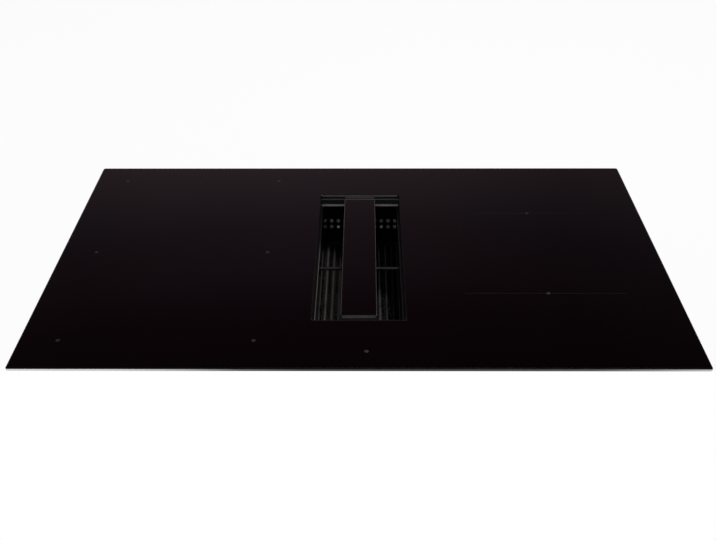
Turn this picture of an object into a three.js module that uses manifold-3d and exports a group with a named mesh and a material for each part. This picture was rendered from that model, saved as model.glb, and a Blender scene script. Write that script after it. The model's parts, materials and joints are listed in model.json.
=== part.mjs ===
// Downdraft induction cooktop: a frameless glass hob with an extractor opening in its middle.
// Millimetres. +X right, +Y to the rear, +Z up. The origin is on the floor plane, under the
// middle of the glass plate.
import * as THREE from 'three';
import { mergeVertices } from 'three/addons/utils/BufferGeometryUtils.js';
import Module from 'manifold-3d';

const wasm = await Module();
wasm.setup();

// ---------------------------------------------------------------- driving dimensions
const overallHeight = 210;
const seat = 0.3; // gap between two pieces that rest on each other
const running = 0.3; // radial gap where one piece turns in another
const glass = { width: 830, depth: 520, thick: 4, cornerRadius: 3 };
const opening = { width: 120, length: 330, centreY: 3, cornerRadius: 3 };
const worktopSeal = { edgeInset: 5, width: 9, thick: 3 };
const casing = { sideOverhang: 35, endOverhang: 24, height: 56, sheet: 1, flange: 6 };
const casingVent = { length: 70, width: 4, pitch: 12, count: 5, centreX: 250, firstFromFront: 20 };
const boardPost = { size: 8, height: 6 };

const tub = { wall: 2.5, flange: 10, flangeThick: 2, lipDrop: 7, clearance: 0.5, shelf: 4.5, shelfDeep: 3 };
const cavityGasket = { width: 9, inset: 1 };
const windowGasketThick = 2.4;

const basket = { wall: 0.8, rimSide: 0.8, rimEnd: 5, rimThick: 2, rimDrop: 15, liftGap: 0.7 };
const basketRib = { pitch: 9.7, width: 4.6, height: 4, topDrop: 76 };
const basketHole = { radius: 2.7, columns: 4, pitchX: 10.4, firstX: 23, drops: [42, 52.5], sides: 6 };
const greaseMesh = { thick: 5, holeX: 8, holeY: 56, pitchX: 10, pitchY: 62, border: 3 };
const handleBar = { width: 7, height: 4, drop: 27 };
const dripTray = { height: 26, wall: 1.2, sideGap: 3, endGap: 2, gripWidth: 8, gripHeight: 4 };

const strip = { slot: 37, frontGap: 11, rearGap: 14, cornerRadius: 1.5 };
const stripCarrier = { plate: 2.5, skirtLift: 2.2, skirtThick: 1.5, endGap: 0.8, footLength: 3.4 };

const underGlass = { mica: 0.8, coil: 5, carrier: 3, trayPlate: 1.5 };
const coilTray = { tubGap: 50, sideGap: 5, frontGap: 10, rearGap: 7 };
const bridgeCell = { sideGap: 5.85, frontGap: 20, rearGap: 18, between: 5, cornerRadius: 68 };
const roundCoil = { rearRadius: 90, rearGap: 27, frontRadius: 105, frontGap: 18 };
const winding = { inset: 3, bore: 16 }; // inset from the carrier's edge
const sensor = { radius: 6, clearance: 1.5 };
const touchBoard = { width: 220, tubGap: 14.7, thick: 1.6, frontGap: 6, bracketSheet: 2 };
const powerBoard = { tubGap: 87.7, sideGap: 29, centreY: -35, depth: 190, thick: 1.6 };
const heatSink = { width: 60, depth: 170, trayGap: 7.6, base: 5, fins: 9, finThick: 1.6 };
const filterBoard = { width: 220, tubGap: 8.7, thick: 1.6, rearGap: 6 };
const coolingFan = {
  centreX: 205, centreY: 150, size: 80, height: 25, bore: 37, hub: 14, blades: 7, floorGap: 3,
  bladeThick: 1.4, bladeTilt: Math.PI / 4.5, tipGap: 0.8, roofGap: 2, strutWidth: 5,
};
const fanGrille = { radius: 36, bar: 3, hub: 14 };

const terminal = { width: 90, depth: 66, height: 30, wall: 2, sideInset: 35, rearInset: 13 };
const terminalBlock = { width: 60, depth: 22, height: 14 };
const gland = { radius: 11, length: 18, bore: 5, neck: 8, inside: 4 };

const blower = { x: 215, frontInset: 111.8, height: 92, wall: 2.5, tongueGap: 13, growth: 42, mouthReach: 135 };
const scrollStart = Math.PI / 3; // direction of the tongue, from +X towards +Y
const scrollSteps = 30;
const scrollFlange = { width: 5, thick: 2.5, split: 46 };
const impeller = { radius: 95, plateZ: 20, plate: 2, ring: 3, ringWidth: 5, roofGap: 10.5, hubWall: 2 };
const impellerBlade = { count: 24, depth: 17, thick: 1.4, bend: 10, bendLean: 3, tipLean: 9, sink: 0.5 };
const inlet = { overlap: 22, ringWall: 2.7, flange: 9, flangeThick: 2, wheelGap: 3 };
const inletSides = 36;
const plenumFoam = { thick: 6.8, width: 12, inset: 1 };
const motor = {
  statorRadius: 39, footRadius: 46, footThick: 4, canRadius: 44, canWall: 2.2, canTop: 48, canLift: 2,
  shaftRadius: 5, shaftAboveCan: 10, bearingRadius: 11, bearingHeight: 7, bearingInset: 1,
};
const plenum = { wall: 2, sideGap: 8.3, farGap: 10.3 }; // gaps beside the inlet ring's flange

const duct = { width: 222, height: 89, wall: 2, setback: 20, bottom: 1.5, spread: 55, neck: 14 };
const flap = { behindSpread: 12, thick: 1.5, pinRadius: 2, clearance: 2, topDrop: 6 };
const flapStop = { depth: 5, width: 3, topGap: 10 };
const springClip = {
  y: 140, width: 36, thick: 1.2, reach: 7.5, height: 40, topGap: 2.7, bowTop: 12, bowEnd: 20,
};

// ---------------------------------------------------------------- sizes and heights that follow
const glassUnder = overallHeight - glass.thick;
const underSeat = glassUnder - seat; // top of what carries the glass
const casingWidth = glass.width - 2 * casing.sideOverhang;
const casingDepth = glass.depth - 2 * casing.endOverhang;
const casingFloor = underSeat - casing.height;
const floorTop = casingFloor + casing.sheet;
const boardZ = floorTop + boardPost.height + seat;
const micaZ = underSeat - underGlass.mica;
const coilZ = micaZ - seat - underGlass.coil;
const carrierZ = coilZ - seat - underGlass.carrier;
const trayPlateZ = carrierZ - seat - underGlass.trayPlate;

const rim = { width: opening.width - 2 * basket.liftGap, length: opening.length - 2 * basket.liftGap };
const basketOuter = { width: rim.width - 2 * basket.rimSide, length: rim.length - 2 * basket.rimEnd };
const basketInner = {
  width: basketOuter.width - 2 * basket.wall,
  length: basketOuter.length - 2 * basket.wall,
};
const cavity = { width: rim.width + 2 * tub.clearance, length: rim.length + 2 * tub.clearance };
const tubOuter = { width: cavity.width + 2 * tub.wall, length: cavity.length + 2 * tub.wall };
const tubFlange = { width: tubOuter.width + 2 * tub.flange, length: tubOuter.length + 2 * tub.flange };
const rimTop = overallHeight - basket.rimDrop;
const shelfTop = rimTop - basket.rimThick - seat;
const ribTop = overallHeight - basketRib.topDrop;
const ribBottom = ribTop - basketRib.height;
const lipTop = overallHeight - tub.lipDrop;

const blowerY = opening.centreY - cavity.length / 2 + blower.frontInset;
const tongueRadius = impeller.radius + blower.tongueGap;
const mouthRadius = tongueRadius + blower.growth;
const inletRadius = impeller.radius - inlet.overlap;
const inletRingOuter = inletRadius + inlet.ringWall;
const inletReach = inletRingOuter + inlet.flange;
const plenumTop = casingFloor - seat;
const plenumBottom = blower.height + 2 * seat + plenumFoam.thick;
const windowSpan = {
  front: blowerY - inletReach - plenum.sideGap,
  rear: blowerY + inletReach + plenum.sideGap,
  bottom: plenumBottom + plenum.wall,
  top: plenumTop - plenum.wall,
};

// ---------------------------------------------------------------- finishes
const finish = (colour, roughness, metalness = 0) =>
  new THREE.MeshStandardMaterial({ color: colour, roughness, metalness });
const blackGlass = () => finish(0x0a0809, 0.06);
const galvanised = () => finish(0xa9adb0, 0.42, 0.9);
const blackPlastic = () => finish(0x17181a, 0.55);
const greyPlastic = () => finish(0x5c6064, 0.5);
const darkSteel = () => finish(0x3a3a3c, 0.38, 0.85);
const aluminium = () => finish(0xb9bcc0, 0.4, 0.95);
const copper = () => finish(0xb0683a, 0.45, 0.8);
const foam = () => finish(0x26272a, 0.95);
const mica = () => finish(0xb7a98c, 0.7);
const circuitBoard = () => finish(0x1f5a38, 0.55);
const ceramic = () => finish(0xd8d5cc, 0.6);

// ---------------------------------------------------------------- solids
/** A closed three.js geometry as a solid that can be joined and cut. */
function solid(geometry) {
  const bare = geometry.clone();
  bare.deleteAttribute('normal');
  bare.deleteAttribute('uv');
  const welded = mergeVertices(bare, 1e-4);
  const corners = [...welded.index.array];
  const kept = [];
  for (let i = 0; i < corners.length; i += 3) {
    const [a, b, c] = corners.slice(i, i + 3);
    if (a !== b && b !== c && c !== a) kept.push(a, b, c);
  }
  const vertProperties = new Float32Array(welded.attributes.position.array);
  return new wasm.Manifold(new wasm.Mesh({ numProp: 3, vertProperties, triVerts: Uint32Array.from(kept) }));
}

/** The solid back as a three.js geometry. */
function geometryOf(made) {
  const mesh = made.getMesh();
  const geometry = new THREE.BufferGeometry();
  geometry.setAttribute('position', new THREE.BufferAttribute(mesh.vertProperties, 3));
  geometry.setIndex(new THREE.BufferAttribute(mesh.triVerts, 1));
  geometry.computeVertexNormals();
  return geometry;
}

const join = (first, ...others) => others.reduce((whole, other) => whole.add(other), first);
const cut = (first, ...others) => others.reduce((whole, other) => whole.subtract(other), first);

/** Block between its low and high corner. */
function block([x0, y0, z0], [x1, y1, z1]) {
  const box = new THREE.BoxGeometry(x1 - x0, y1 - y0, z1 - z0);
  box.translate((x0 + x1) / 2, (y0 + y1) / 2, (z0 + z1) / 2);
  return solid(box);
}

/** Block given by its plan size, the middle of its plan, and its two heights. */
const slab = (width, depth, z0, z1, x = 0, y = 0) =>
  block([x - width / 2, y - depth / 2, z0], [x + width / 2, y + depth / 2, z1]);

/** Outline of a rectangle with round corners. */
function roundedRectangle(width, depth, radius, x = 0, y = 0) {
  const shape = new THREE.Shape();
  const [w, d] = [width / 2 - radius, depth / 2 - radius];
  shape.absarc(x + w, y - d, radius, -Math.PI / 2, 0);
  shape.absarc(x + w, y + d, radius, 0, Math.PI / 2);
  shape.absarc(x - w, y + d, radius, Math.PI / 2, Math.PI);
  shape.absarc(x - w, y - d, radius, Math.PI, 1.5 * Math.PI);
  return shape;
}

/** Outline raised straight up between two heights. */
function raise(shape, z0, z1, curveSegments = 4) {
  const prism = new THREE.ExtrudeGeometry(shape, { depth: z1 - z0, bevelEnabled: false, curveSegments });
  prism.translate(0, 0, z0);
  return solid(prism);
}

/** Upright cylinder. */
function drum(radius, z0, z1, x = 0, y = 0, sides = 32) {
  const cylinder = new THREE.CylinderGeometry(radius, radius, z1 - z0, sides);
  cylinder.rotateX(Math.PI / 2);
  cylinder.translate(x, y, (z0 + z1) / 2);
  return solid(cylinder);
}

/** Cylinder lying along X. */
function rod(radius, x0, x1, y, z, sides = 12) {
  const cylinder = new THREE.CylinderGeometry(radius, radius, x1 - x0, sides);
  cylinder.rotateZ(Math.PI / 2);
  cylinder.translate((x0 + x1) / 2, y, z);
  return solid(cylinder);
}

/** Upright ring. */
const ring = (outer, inner, z0, z1, x = 0, y = 0, sides = 32) =>
  cut(drum(outer, z0, z1, x, y, sides), drum(inner, z0 - 1, z1 + 1, x, y, sides));

/** Closed profile of [radius, height] points turned about the vertical axis. */
function turned(profile, sides = 32) {
  const closed = [...profile, profile[0]].map(([radius, z]) => new THREE.Vector2(radius, z));
  const lathe = new THREE.LatheGeometry(closed, sides);
  lathe.rotateX(Math.PI / 2);
  return solid(lathe);
}

/** Rectangular frame: an outer block with a rectangular way through it. */
const frameRing = (width, depth, border, z0, z1, x = 0, y = 0) =>
  cut(slab(width, depth, z0, z1, x, y), slab(width - 2 * border, depth - 2 * border, z0 - 1, z1 + 1, x, y));

/** Closed outline in the X-Z plane, pushed along Y from y0 to y1. */
function along(points, y0, y1) {
  const shape = new THREE.Shape(points.map(([x, z]) => new THREE.Vector2(x, z)));
  const prism = new THREE.ExtrudeGeometry(shape, { depth: y1 - y0, bevelEnabled: false });
  prism.rotateX(Math.PI / 2); // the outline's second axis becomes Z, and the push runs towards -Y
  prism.translate(0, y1, 0);
  return solid(prism);
}

const hob = new THREE.Group();

/** Adds one piece to a group, under its name. */
function part(name, made, material, group = hob) {
  const mesh = new THREE.Mesh(geometryOf(made), material);
  mesh.name = name;
  group.add(mesh);
}

// ---------------------------------------------------------------- glass plate and seal
const plate = roundedRectangle(glass.width, glass.depth, glass.cornerRadius);
plate.holes.push(
  roundedRectangle(opening.width, opening.length, opening.cornerRadius, 0, opening.centreY),
);
part('glass_panel', raise(plate, glassUnder, overallHeight), blackGlass());

part(
  'perimeter_seal',
  frameRing(
    glass.width - 2 * worktopSeal.edgeInset,
    glass.depth - 2 * worktopSeal.edgeInset,
    worktopSeal.width,
    underSeat - worktopSeal.thick,
    underSeat,
  ),
  foam(),
);

// ---------------------------------------------------------------- air cavity tub
function tubShell() {
  const outside = slab(tubOuter.width, tubOuter.length, 0, lipTop, 0, opening.centreY);
  const flange = slab(tubFlange.width, tubFlange.length, lipTop - tub.flangeThick, lipTop, 0, opening.centreY);
  const inside = slab(cavity.width, cavity.length, tub.wall, lipTop + 1, 0, opening.centreY);
  const shelves = [-1, 1].map((side) => {
    const wallY = opening.centreY + (side * cavity.length) / 2;
    const innerY = wallY - side * tub.shelf;
    const [y0, y1] = [Math.min(wallY, innerY), Math.max(wallY, innerY)];
    return block([-cavity.width / 2, y0, shelfTop - tub.shelfDeep], [cavity.width / 2, y1, shelfTop]);
  });
  const window = block(
    [cavity.width / 2 - 1, windowSpan.front, windowSpan.bottom],
    [tubOuter.width / 2 + 1, windowSpan.rear, windowSpan.top],
  );
  return cut(join(cut(join(outside, flange), inside), ...shelves), window);
}
part('air_cavity', tubShell(), blackPlastic());

part(
  'cavity_gasket',
  frameRing(
    tubFlange.width - 2 * cavityGasket.inset,
    tubFlange.length - 2 * cavityGasket.inset,
    cavityGasket.width,
    lipTop + seat,
    underSeat,
    0,
    opening.centreY,
  ),
  foam(),
);

// ---------------------------------------------------------------- upper casing
const boardCorners = (board) =>
  [-1, 1].flatMap((sx) => [-1, 1].map((sy) => [
    board.centreX + (sx * (board.width - boardPost.size)) / 2,
    board.centreY + (sy * (board.depth - boardPost.size)) / 2,
  ]));
const filterBay = [
  opening.centreY + tubFlange.length / 2 + filterBoard.tubGap,
  casingDepth / 2 - casing.sheet - filterBoard.rearGap,
];
const filterBoardDepth = filterBay[1] - filterBay[0];
const filterBoardY = (filterBay[0] + filterBay[1]) / 2;
const powerBay = [
  tubOuter.width / 2 + powerBoard.tubGap,
  casingWidth / 2 - casing.sheet - powerBoard.sideGap,
];
const powerBoardWidth = powerBay[1] - powerBay[0];
const powerBoardX = (powerBay[0] + powerBay[1]) / 2;
const boards = [
  { ...powerBoard, centreX: -powerBoardX, width: powerBoardWidth },
  { ...powerBoard, centreX: powerBoardX, width: powerBoardWidth },
  { ...filterBoard, centreX: 0, centreY: filterBoardY, depth: filterBoardDepth },
];

function casingShell() {
  const outside = slab(casingWidth, casingDepth, casingFloor, underSeat);
  const flange = slab(
    casingWidth + 2 * casing.flange,
    casingDepth + 2 * casing.flange,
    underSeat - casing.sheet,
    underSeat,
  );
  const inside = slab(
    casingWidth - 2 * casing.sheet,
    casingDepth - 2 * casing.sheet,
    floorTop,
    underSeat + 1,
  );
  const posts = boards.flatMap(boardCorners).map(([x, y]) =>
    slab(boardPost.size, boardPost.size, casingFloor, floorTop + boardPost.height, x, y));
  const floorCut = [casingFloor - 1, floorTop + 1];
  const tubHole = slab(
    tubOuter.width + 2 * tub.clearance,
    tubOuter.length + 2 * tub.clearance,
    ...floorCut,
    0,
    opening.centreY,
  );
  const grilles = [-1, 1].map((side) => {
    const x = side * coolingFan.centreX;
    const y = coolingFan.centreY;
    const bars = join(
      slab(2 * fanGrille.radius, fanGrille.bar, ...floorCut, x, y),
      slab(fanGrille.bar, 2 * fanGrille.radius, ...floorCut, x, y),
      drum(fanGrille.hub, ...floorCut, x, y, 24),
    );
    return cut(drum(fanGrille.radius, ...floorCut, x, y), bars);
  });
  const vents = [-1, 1].flatMap((side) => Array.from({ length: casingVent.count }, (_, i) =>
    slab(
      casingVent.length,
      casingVent.width,
      ...floorCut,
      side * casingVent.centreX,
      casingVent.firstFromFront - casingDepth / 2 + i * casingVent.pitch,
    )));
  return cut(join(cut(join(outside, flange), inside), ...posts), tubHole, ...grilles, ...vents);
}
part('hob_casing', casingShell(), galvanised());

/** Outline of a leaf spring on the casing's side wall, which bows out to press on the worktop cut-out. */
function clipLeaf(side) {
  const x = casingWidth / 2 + seat;
  const bow = x + springClip.reach;
  const z = underSeat - springClip.topGap;
  const t = springClip.thick;
  const outline = [
    [x, z],
    [x + t, z],
    [bow, z - springClip.bowTop],
    [bow, z - springClip.bowEnd],
    [x + t, z - springClip.height],
    [x, z - springClip.height],
    [x, z - springClip.height + t],
    [bow - t, z - springClip.bowEnd],
    [bow - t, z - springClip.bowTop],
    [x, z - t],
  ];
  return outline.map(([px, pz]) => [side * px, pz]);
}
for (const [side, sideName] of [[-1, 'left'], [1, 'right']]) {
  for (const [end, endName] of [[-1, 'front'], [1, 'rear']]) {
    const y = end * springClip.y;
    const leaf = along(clipLeaf(side), y - springClip.width / 2, y + springClip.width / 2);
    part(`spring_clip_${sideName}_${endName}`, leaf, darkSteel());
  }
}

// ---------------------------------------------------------------- coils and their trays
const trayBay = {
  inner: tubFlange.width / 2 + coilTray.tubGap,
  outer: casingWidth / 2 - casing.sheet - coilTray.sideGap,
  front: casing.sheet + coilTray.frontGap - casingDepth / 2,
  rear: casingDepth / 2 - casing.sheet - coilTray.rearGap,
};
const trayTop = trayPlateZ + underGlass.trayPlate;
const coilX = (trayBay.inner + trayBay.outer) / 2;

/** Bent plate that holds the coils of one side, on a leg at each side. */
function coilTraySolid(side) {
  const [x0, x1] = side < 0 ? [-trayBay.outer, -trayBay.inner] : [trayBay.inner, trayBay.outer];
  const t = underGlass.trayPlate;
  return join(
    block([x0, trayBay.front, trayPlateZ], [x1, trayBay.rear, trayTop]),
    block([x0, trayBay.front, floorTop + seat], [x0 + t, trayBay.rear, trayTop]),
    block([x1 - t, trayBay.front, floorTop + seat], [x1, trayBay.rear, trayTop]),
  );
}
part('left_coil_tray', coilTraySolid(-1), aluminium());
part('right_coil_tray', coilTraySolid(1), aluminium());

const cellWidth = trayBay.outer - trayBay.inner - 2 * bridgeCell.sideGap;
const cellRows = trayBay.rear - trayBay.front - bridgeCell.frontGap - bridgeCell.rearGap;
const cellDepth = (cellRows - bridgeCell.between) / 2;
const cellOutline = (inset) =>
  roundedRectangle(cellWidth - 2 * inset, cellDepth - 2 * inset, bridgeCell.cornerRadius - inset);
const roundOutline = (radius) => (inset) =>
  new THREE.Shape().absarc(0, 0, radius - inset, 0, 2 * Math.PI);
const coilSites = [
  {
    name: 'rear_left',
    x: -coilX,
    y: trayBay.rear - bridgeCell.rearGap - cellDepth / 2,
    outline: cellOutline,
  },
  {
    name: 'front_left',
    x: -coilX,
    y: trayBay.front + bridgeCell.frontGap + cellDepth / 2,
    outline: cellOutline,
  },
  {
    name: 'rear_right',
    x: coilX,
    y: trayBay.rear - roundCoil.rearGap - roundCoil.rearRadius,
    outline: roundOutline(roundCoil.rearRadius),
  },
  {
    name: 'front_right',
    x: coilX,
    y: trayBay.front + roundCoil.frontGap + roundCoil.frontRadius,
    outline: roundOutline(roundCoil.frontRadius),
  },
];
for (const site of coilSites) {
  const bench = new THREE.Group();
  bench.position.set(site.x, site.y, 0);
  hob.add(bench);
  const wound = cut(
    raise(site.outline(winding.inset), coilZ, coilZ + underGlass.coil, 6),
    drum(winding.bore, coilZ - 1, coilZ + underGlass.coil + 1),
  );
  const carrier = cut(
    raise(site.outline(0), carrierZ, carrierZ + underGlass.carrier, 6),
    drum(sensor.radius + sensor.clearance, carrierZ - 1, carrierZ + underGlass.carrier + 1),
  );
  part(`coil_${site.name}`, wound, copper(), bench);
  part(`coil_carrier_${site.name}`, carrier, greyPlastic(), bench);
  part(`pan_sensor_${site.name}`, drum(sensor.radius, trayTop + seat, underSeat, 0, 0, 16), mica(), bench);
}

for (const [side, sideName] of [[-1, 'left'], [1, 'right']]) {
  const sites = coilSites.filter((site) => Math.sign(site.x) === side);
  const [width, length] = [trayBay.outer - trayBay.inner, trayBay.rear - trayBay.front];
  const sheet = slab(width, length, micaZ, underSeat, side * coilX, (trayBay.front + trayBay.rear) / 2);
  const holes = sites.map((site) =>
    drum(sensor.radius + sensor.clearance, micaZ - 1, underSeat + 1, site.x, site.y, 16));
  part(`mica_sheet_${sideName}`, cut(sheet, ...holes), mica());
}

// ---------------------------------------------------------------- electronics
const touchBay = [
  casing.sheet + touchBoard.frontGap - casingDepth / 2,
  opening.centreY - tubFlange.length / 2 - touchBoard.tubGap,
];
const touchDepth = touchBay[1] - touchBay[0];
const touchY = (touchBay[0] + touchBay[1]) / 2;
const touchZ = underSeat - touchBoard.thick;
part(
  'touch_board',
  slab(touchBoard.width, touchDepth, touchZ, underSeat, 0, touchY),
  circuitBoard(),
);
const bracketTop = touchZ - seat;
const bracketLeg = (side) => slab(
  touchBoard.bracketSheet,
  touchDepth,
  floorTop + seat,
  bracketTop,
  (side * (touchBoard.width - touchBoard.bracketSheet)) / 2,
  touchY,
);
part(
  'touch_board_bracket',
  join(
    slab(touchBoard.width, touchDepth, bracketTop - touchBoard.bracketSheet, bracketTop, 0, touchY),
    bracketLeg(-1),
    bracketLeg(1),
  ),
  greyPlastic(),
);

for (const [side, sideName] of [[-1, 'left'], [1, 'right']]) {
  const x = side * powerBoardX;
  const boardTop = boardZ + powerBoard.thick;
  const board = slab(powerBoardWidth, powerBoard.depth, boardZ, boardTop, x, powerBoard.centreY);
  part(`power_board_${sideName}`, board, circuitBoard());
  const z = boardTop + seat;
  const finTop = trayPlateZ - heatSink.trayGap;
  const finPitch = (heatSink.width - heatSink.finThick) / (heatSink.fins - 1);
  const fins = Array.from({ length: heatSink.fins }, (_, i) => slab(
    heatSink.finThick,
    heatSink.depth,
    z,
    finTop,
    x - heatSink.width / 2 + heatSink.finThick / 2 + i * finPitch,
    powerBoard.centreY,
  ));
  const base = slab(heatSink.width, heatSink.depth, z, z + heatSink.base, x, powerBoard.centreY);
  part(`heat_sink_${sideName}`, join(base, ...fins), aluminium());
}

part(
  'filter_board',
  slab(filterBoard.width, filterBoardDepth, boardZ, boardZ + filterBoard.thick, 0, filterBoardY),
  circuitBoard(),
);

/** Fan wheel about the vertical axis: a hub and tilted flat blades. */
function fanWheel(bottom, top) {
  const bladeReach = coolingFan.bore - coolingFan.tipGap - coolingFan.hub;
  const blade = new THREE.BoxGeometry(bladeReach, coolingFan.bladeThick, top - bottom);
  blade.rotateX(coolingFan.bladeTilt);
  blade.translate(coolingFan.hub - 1 + bladeReach / 2, 0, (top + bottom) / 2);
  const blades = Array.from({ length: coolingFan.blades }, (_, i) => {
    const placed = blade.clone();
    placed.rotateZ((i * 2 * Math.PI) / coolingFan.blades);
    return solid(placed);
  });
  return join(drum(coolingFan.hub, bottom, top, 0, 0, 16), ...blades);
}
for (const [side, sideName] of [[-1, 'left'], [1, 'right']]) {
  const fan = new THREE.Group();
  fan.position.set(side * coolingFan.centreX, coolingFan.centreY, 0);
  hob.add(fan);
  const z0 = floorTop + seat;
  const z1 = z0 + coolingFan.height;
  const shell = cut(
    slab(coolingFan.size, coolingFan.size, z0, z1),
    drum(coolingFan.bore, z0 - 1, z1 + 1, 0, 0, 24),
  );
  const strutTop = z0 + coolingFan.floorGap - seat;
  const strut = join(
    slab(2 * coolingFan.bore + 2, coolingFan.strutWidth, z0, strutTop),
    slab(coolingFan.strutWidth, 2 * coolingFan.bore + 2, z0, strutTop),
    drum(coolingFan.hub, z0, strutTop, 0, 0, 16),
  );
  part(`cooling_fan_frame_${sideName}`, join(shell, strut), blackPlastic(), fan);
  const rotor = fanWheel(z0 + coolingFan.floorGap, z1 - coolingFan.roofGap);
  part(`cooling_fan_rotor_${sideName}`, rotor, blackPlastic(), fan);
}

// ---------------------------------------------------------------- mains connection
const terminalTop = casingFloor - seat;
const terminalBottom = terminalTop - terminal.height;
const terminalWallX = terminal.sideInset - casingWidth / 2;
const terminalX = terminalWallX + terminal.width / 2;
const terminalY = casingDepth / 2 - terminal.rearInset - terminal.depth / 2;
const glandZ = terminalTop - terminal.height / 2;
const glandInnerX = terminalWallX + terminal.wall + gland.inside;
part(
  'terminal_box',
  cut(
    slab(terminal.width, terminal.depth, terminalBottom, terminalTop, terminalX, terminalY),
    slab(
      terminal.width - 2 * terminal.wall,
      terminal.depth - 2 * terminal.wall,
      terminalBottom - 1,
      terminalTop - terminal.wall,
      terminalX,
      terminalY,
    ),
    rod(gland.neck + seat, terminalWallX - 1, terminalWallX + terminal.wall + 1, terminalY, glandZ, 20),
  ),
  blackPlastic(),
);
const blockTop = terminalTop - terminal.wall - seat;
part(
  'terminal_block',
  slab(
    terminalBlock.width,
    terminalBlock.depth,
    blockTop - terminalBlock.height,
    blockTop,
    terminalX,
    terminalY,
  ),
  ceramic(),
);
part(
  'terminal_cover',
  slab(
    terminal.width,
    terminal.depth,
    terminalBottom - seat - terminal.wall,
    terminalBottom - seat,
    terminalX,
    terminalY,
  ),
  blackPlastic(),
);
part(
  'cable_gland',
  cut(
    join(
      rod(gland.radius, terminalWallX - seat - gland.length, terminalWallX - seat, terminalY, glandZ, 6),
      rod(gland.neck, terminalWallX - seat - 1, glandInnerX, terminalY, glandZ, 20),
    ),
    rod(gland.bore, terminalWallX - gland.length - 1, glandInnerX + 1, terminalY, glandZ, 16),
  ),
  blackPlastic(),
);

// ---------------------------------------------------------------- drip tray
const tray = {
  width: cavity.width - 2 * dripTray.sideGap,
  length: cavity.length - 2 * (tub.shelf + dripTray.endGap),
  bottom: tub.wall + seat,
};
part(
  'drip_tray',
  join(
    cut(
      slab(tray.width, tray.length, tray.bottom, tray.bottom + dripTray.height, 0, opening.centreY),
      slab(
        tray.width - 2 * dripTray.wall,
        tray.length - 2 * dripTray.wall,
        tray.bottom + dripTray.wall,
        tray.bottom + dripTray.height + 1,
        0,
        opening.centreY,
      ),
    ),
    slab(
      tray.width - dripTray.wall,
      dripTray.gripWidth,
      tray.bottom + dripTray.height - dripTray.gripHeight,
      tray.bottom + dripTray.height,
      0,
      opening.centreY,
    ),
  ),
  greyPlastic(),
);

// ---------------------------------------------------------------- filter basket
function basketSolid() {
  const y = opening.centreY;
  const rimPlate = slab(rim.width, rim.length, rimTop - basket.rimThick, rimTop, 0, y);
  const walls = slab(basketOuter.width, basketOuter.length, ribBottom, rimTop, 0, y);
  const inside = slab(basketInner.width, basketInner.length, ribBottom - 1, rimTop + 1, 0, y);
  const ribCount = Math.floor(basketInner.width / basketRib.pitch);
  const ribs = Array.from({ length: ribCount }, (_, i) => slab(
    basketRib.width,
    basketInner.length + basket.wall,
    ribBottom,
    ribTop,
    (i - (ribCount - 1) / 2) * basketRib.pitch,
    y,
  ));
  const holes = basketHole.drops.flatMap((drop) => [-1, 1].flatMap((side) =>
    Array.from({ length: basketHole.columns }, (_, i) => {
      const { radius, sides } = basketHole;
      const hole = new THREE.CylinderGeometry(radius, radius, basketOuter.length + 2, sides);
      hole.translate(side * (basketHole.firstX + i * basketHole.pitchX), y, overallHeight - drop);
      return solid(hole);
    })));
  return cut(join(cut(join(rimPlate, walls), inside), ...ribs), ...holes);
}
part('filter_basket', basketSolid(), darkSteel());

const handleTop = overallHeight - handleBar.drop;
part(
  'basket_handle',
  slab(
    basketInner.width - 2 * seat,
    handleBar.width,
    handleTop - handleBar.height,
    handleTop,
    0,
    opening.centreY,
  ),
  darkSteel(),
);

const meshTop = ribBottom - seat;
const meshColumns = Math.floor((basketOuter.width - 2 * greaseMesh.border) / greaseMesh.pitchX);
const meshRows = Math.floor((basketOuter.length - 2 * greaseMesh.border) / greaseMesh.pitchY);
const meshHoles = Array.from({ length: meshColumns }, (_, i) =>
  Array.from({ length: meshRows }, (_row, j) => slab(
    greaseMesh.holeX,
    greaseMesh.holeY,
    meshTop - greaseMesh.thick - 1,
    meshTop + 1,
    (i - (meshColumns - 1) / 2) * greaseMesh.pitchX,
    opening.centreY + (j - (meshRows - 1) / 2) * greaseMesh.pitchY,
  ))).flat();
part(
  'grease_mesh',
  cut(
    slab(basketOuter.width, basketOuter.length, meshTop - greaseMesh.thick, meshTop, 0, opening.centreY),
    ...meshHoles,
  ),
  aluminium(),
);

// ---------------------------------------------------------------- cover strip
const stripWidth = opening.width - 2 * strip.slot;
const stripLength = opening.length - strip.frontGap - strip.rearGap;
const stripY = opening.centreY + (strip.frontGap - strip.rearGap) / 2;
part(
  'cover_strip_glass',
  raise(
    roundedRectangle(stripWidth, stripLength, strip.cornerRadius, 0, stripY),
    glassUnder,
    overallHeight,
  ),
  blackGlass(),
);
const carrierLength = opening.length - 2 * stripCarrier.endGap;
const carrierPlateZ = underSeat - stripCarrier.plate;
part(
  'cover_strip_carrier',
  join(
    slab(stripWidth, carrierLength, carrierPlateZ, underSeat, 0, opening.centreY),
    ...[-1, 1].map((side) => slab(
      stripCarrier.skirtThick,
      carrierLength,
      rimTop + stripCarrier.skirtLift,
      underSeat,
      (side * (stripWidth - stripCarrier.skirtThick)) / 2,
      opening.centreY,
    )),
    ...[-1, 1].map((end) => slab(
      stripWidth,
      stripCarrier.footLength,
      rimTop + seat,
      carrierPlateZ,
      0,
      opening.centreY + (end * (carrierLength - stripCarrier.footLength)) / 2,
    )),
  ),
  darkSteel(),
);

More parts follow.
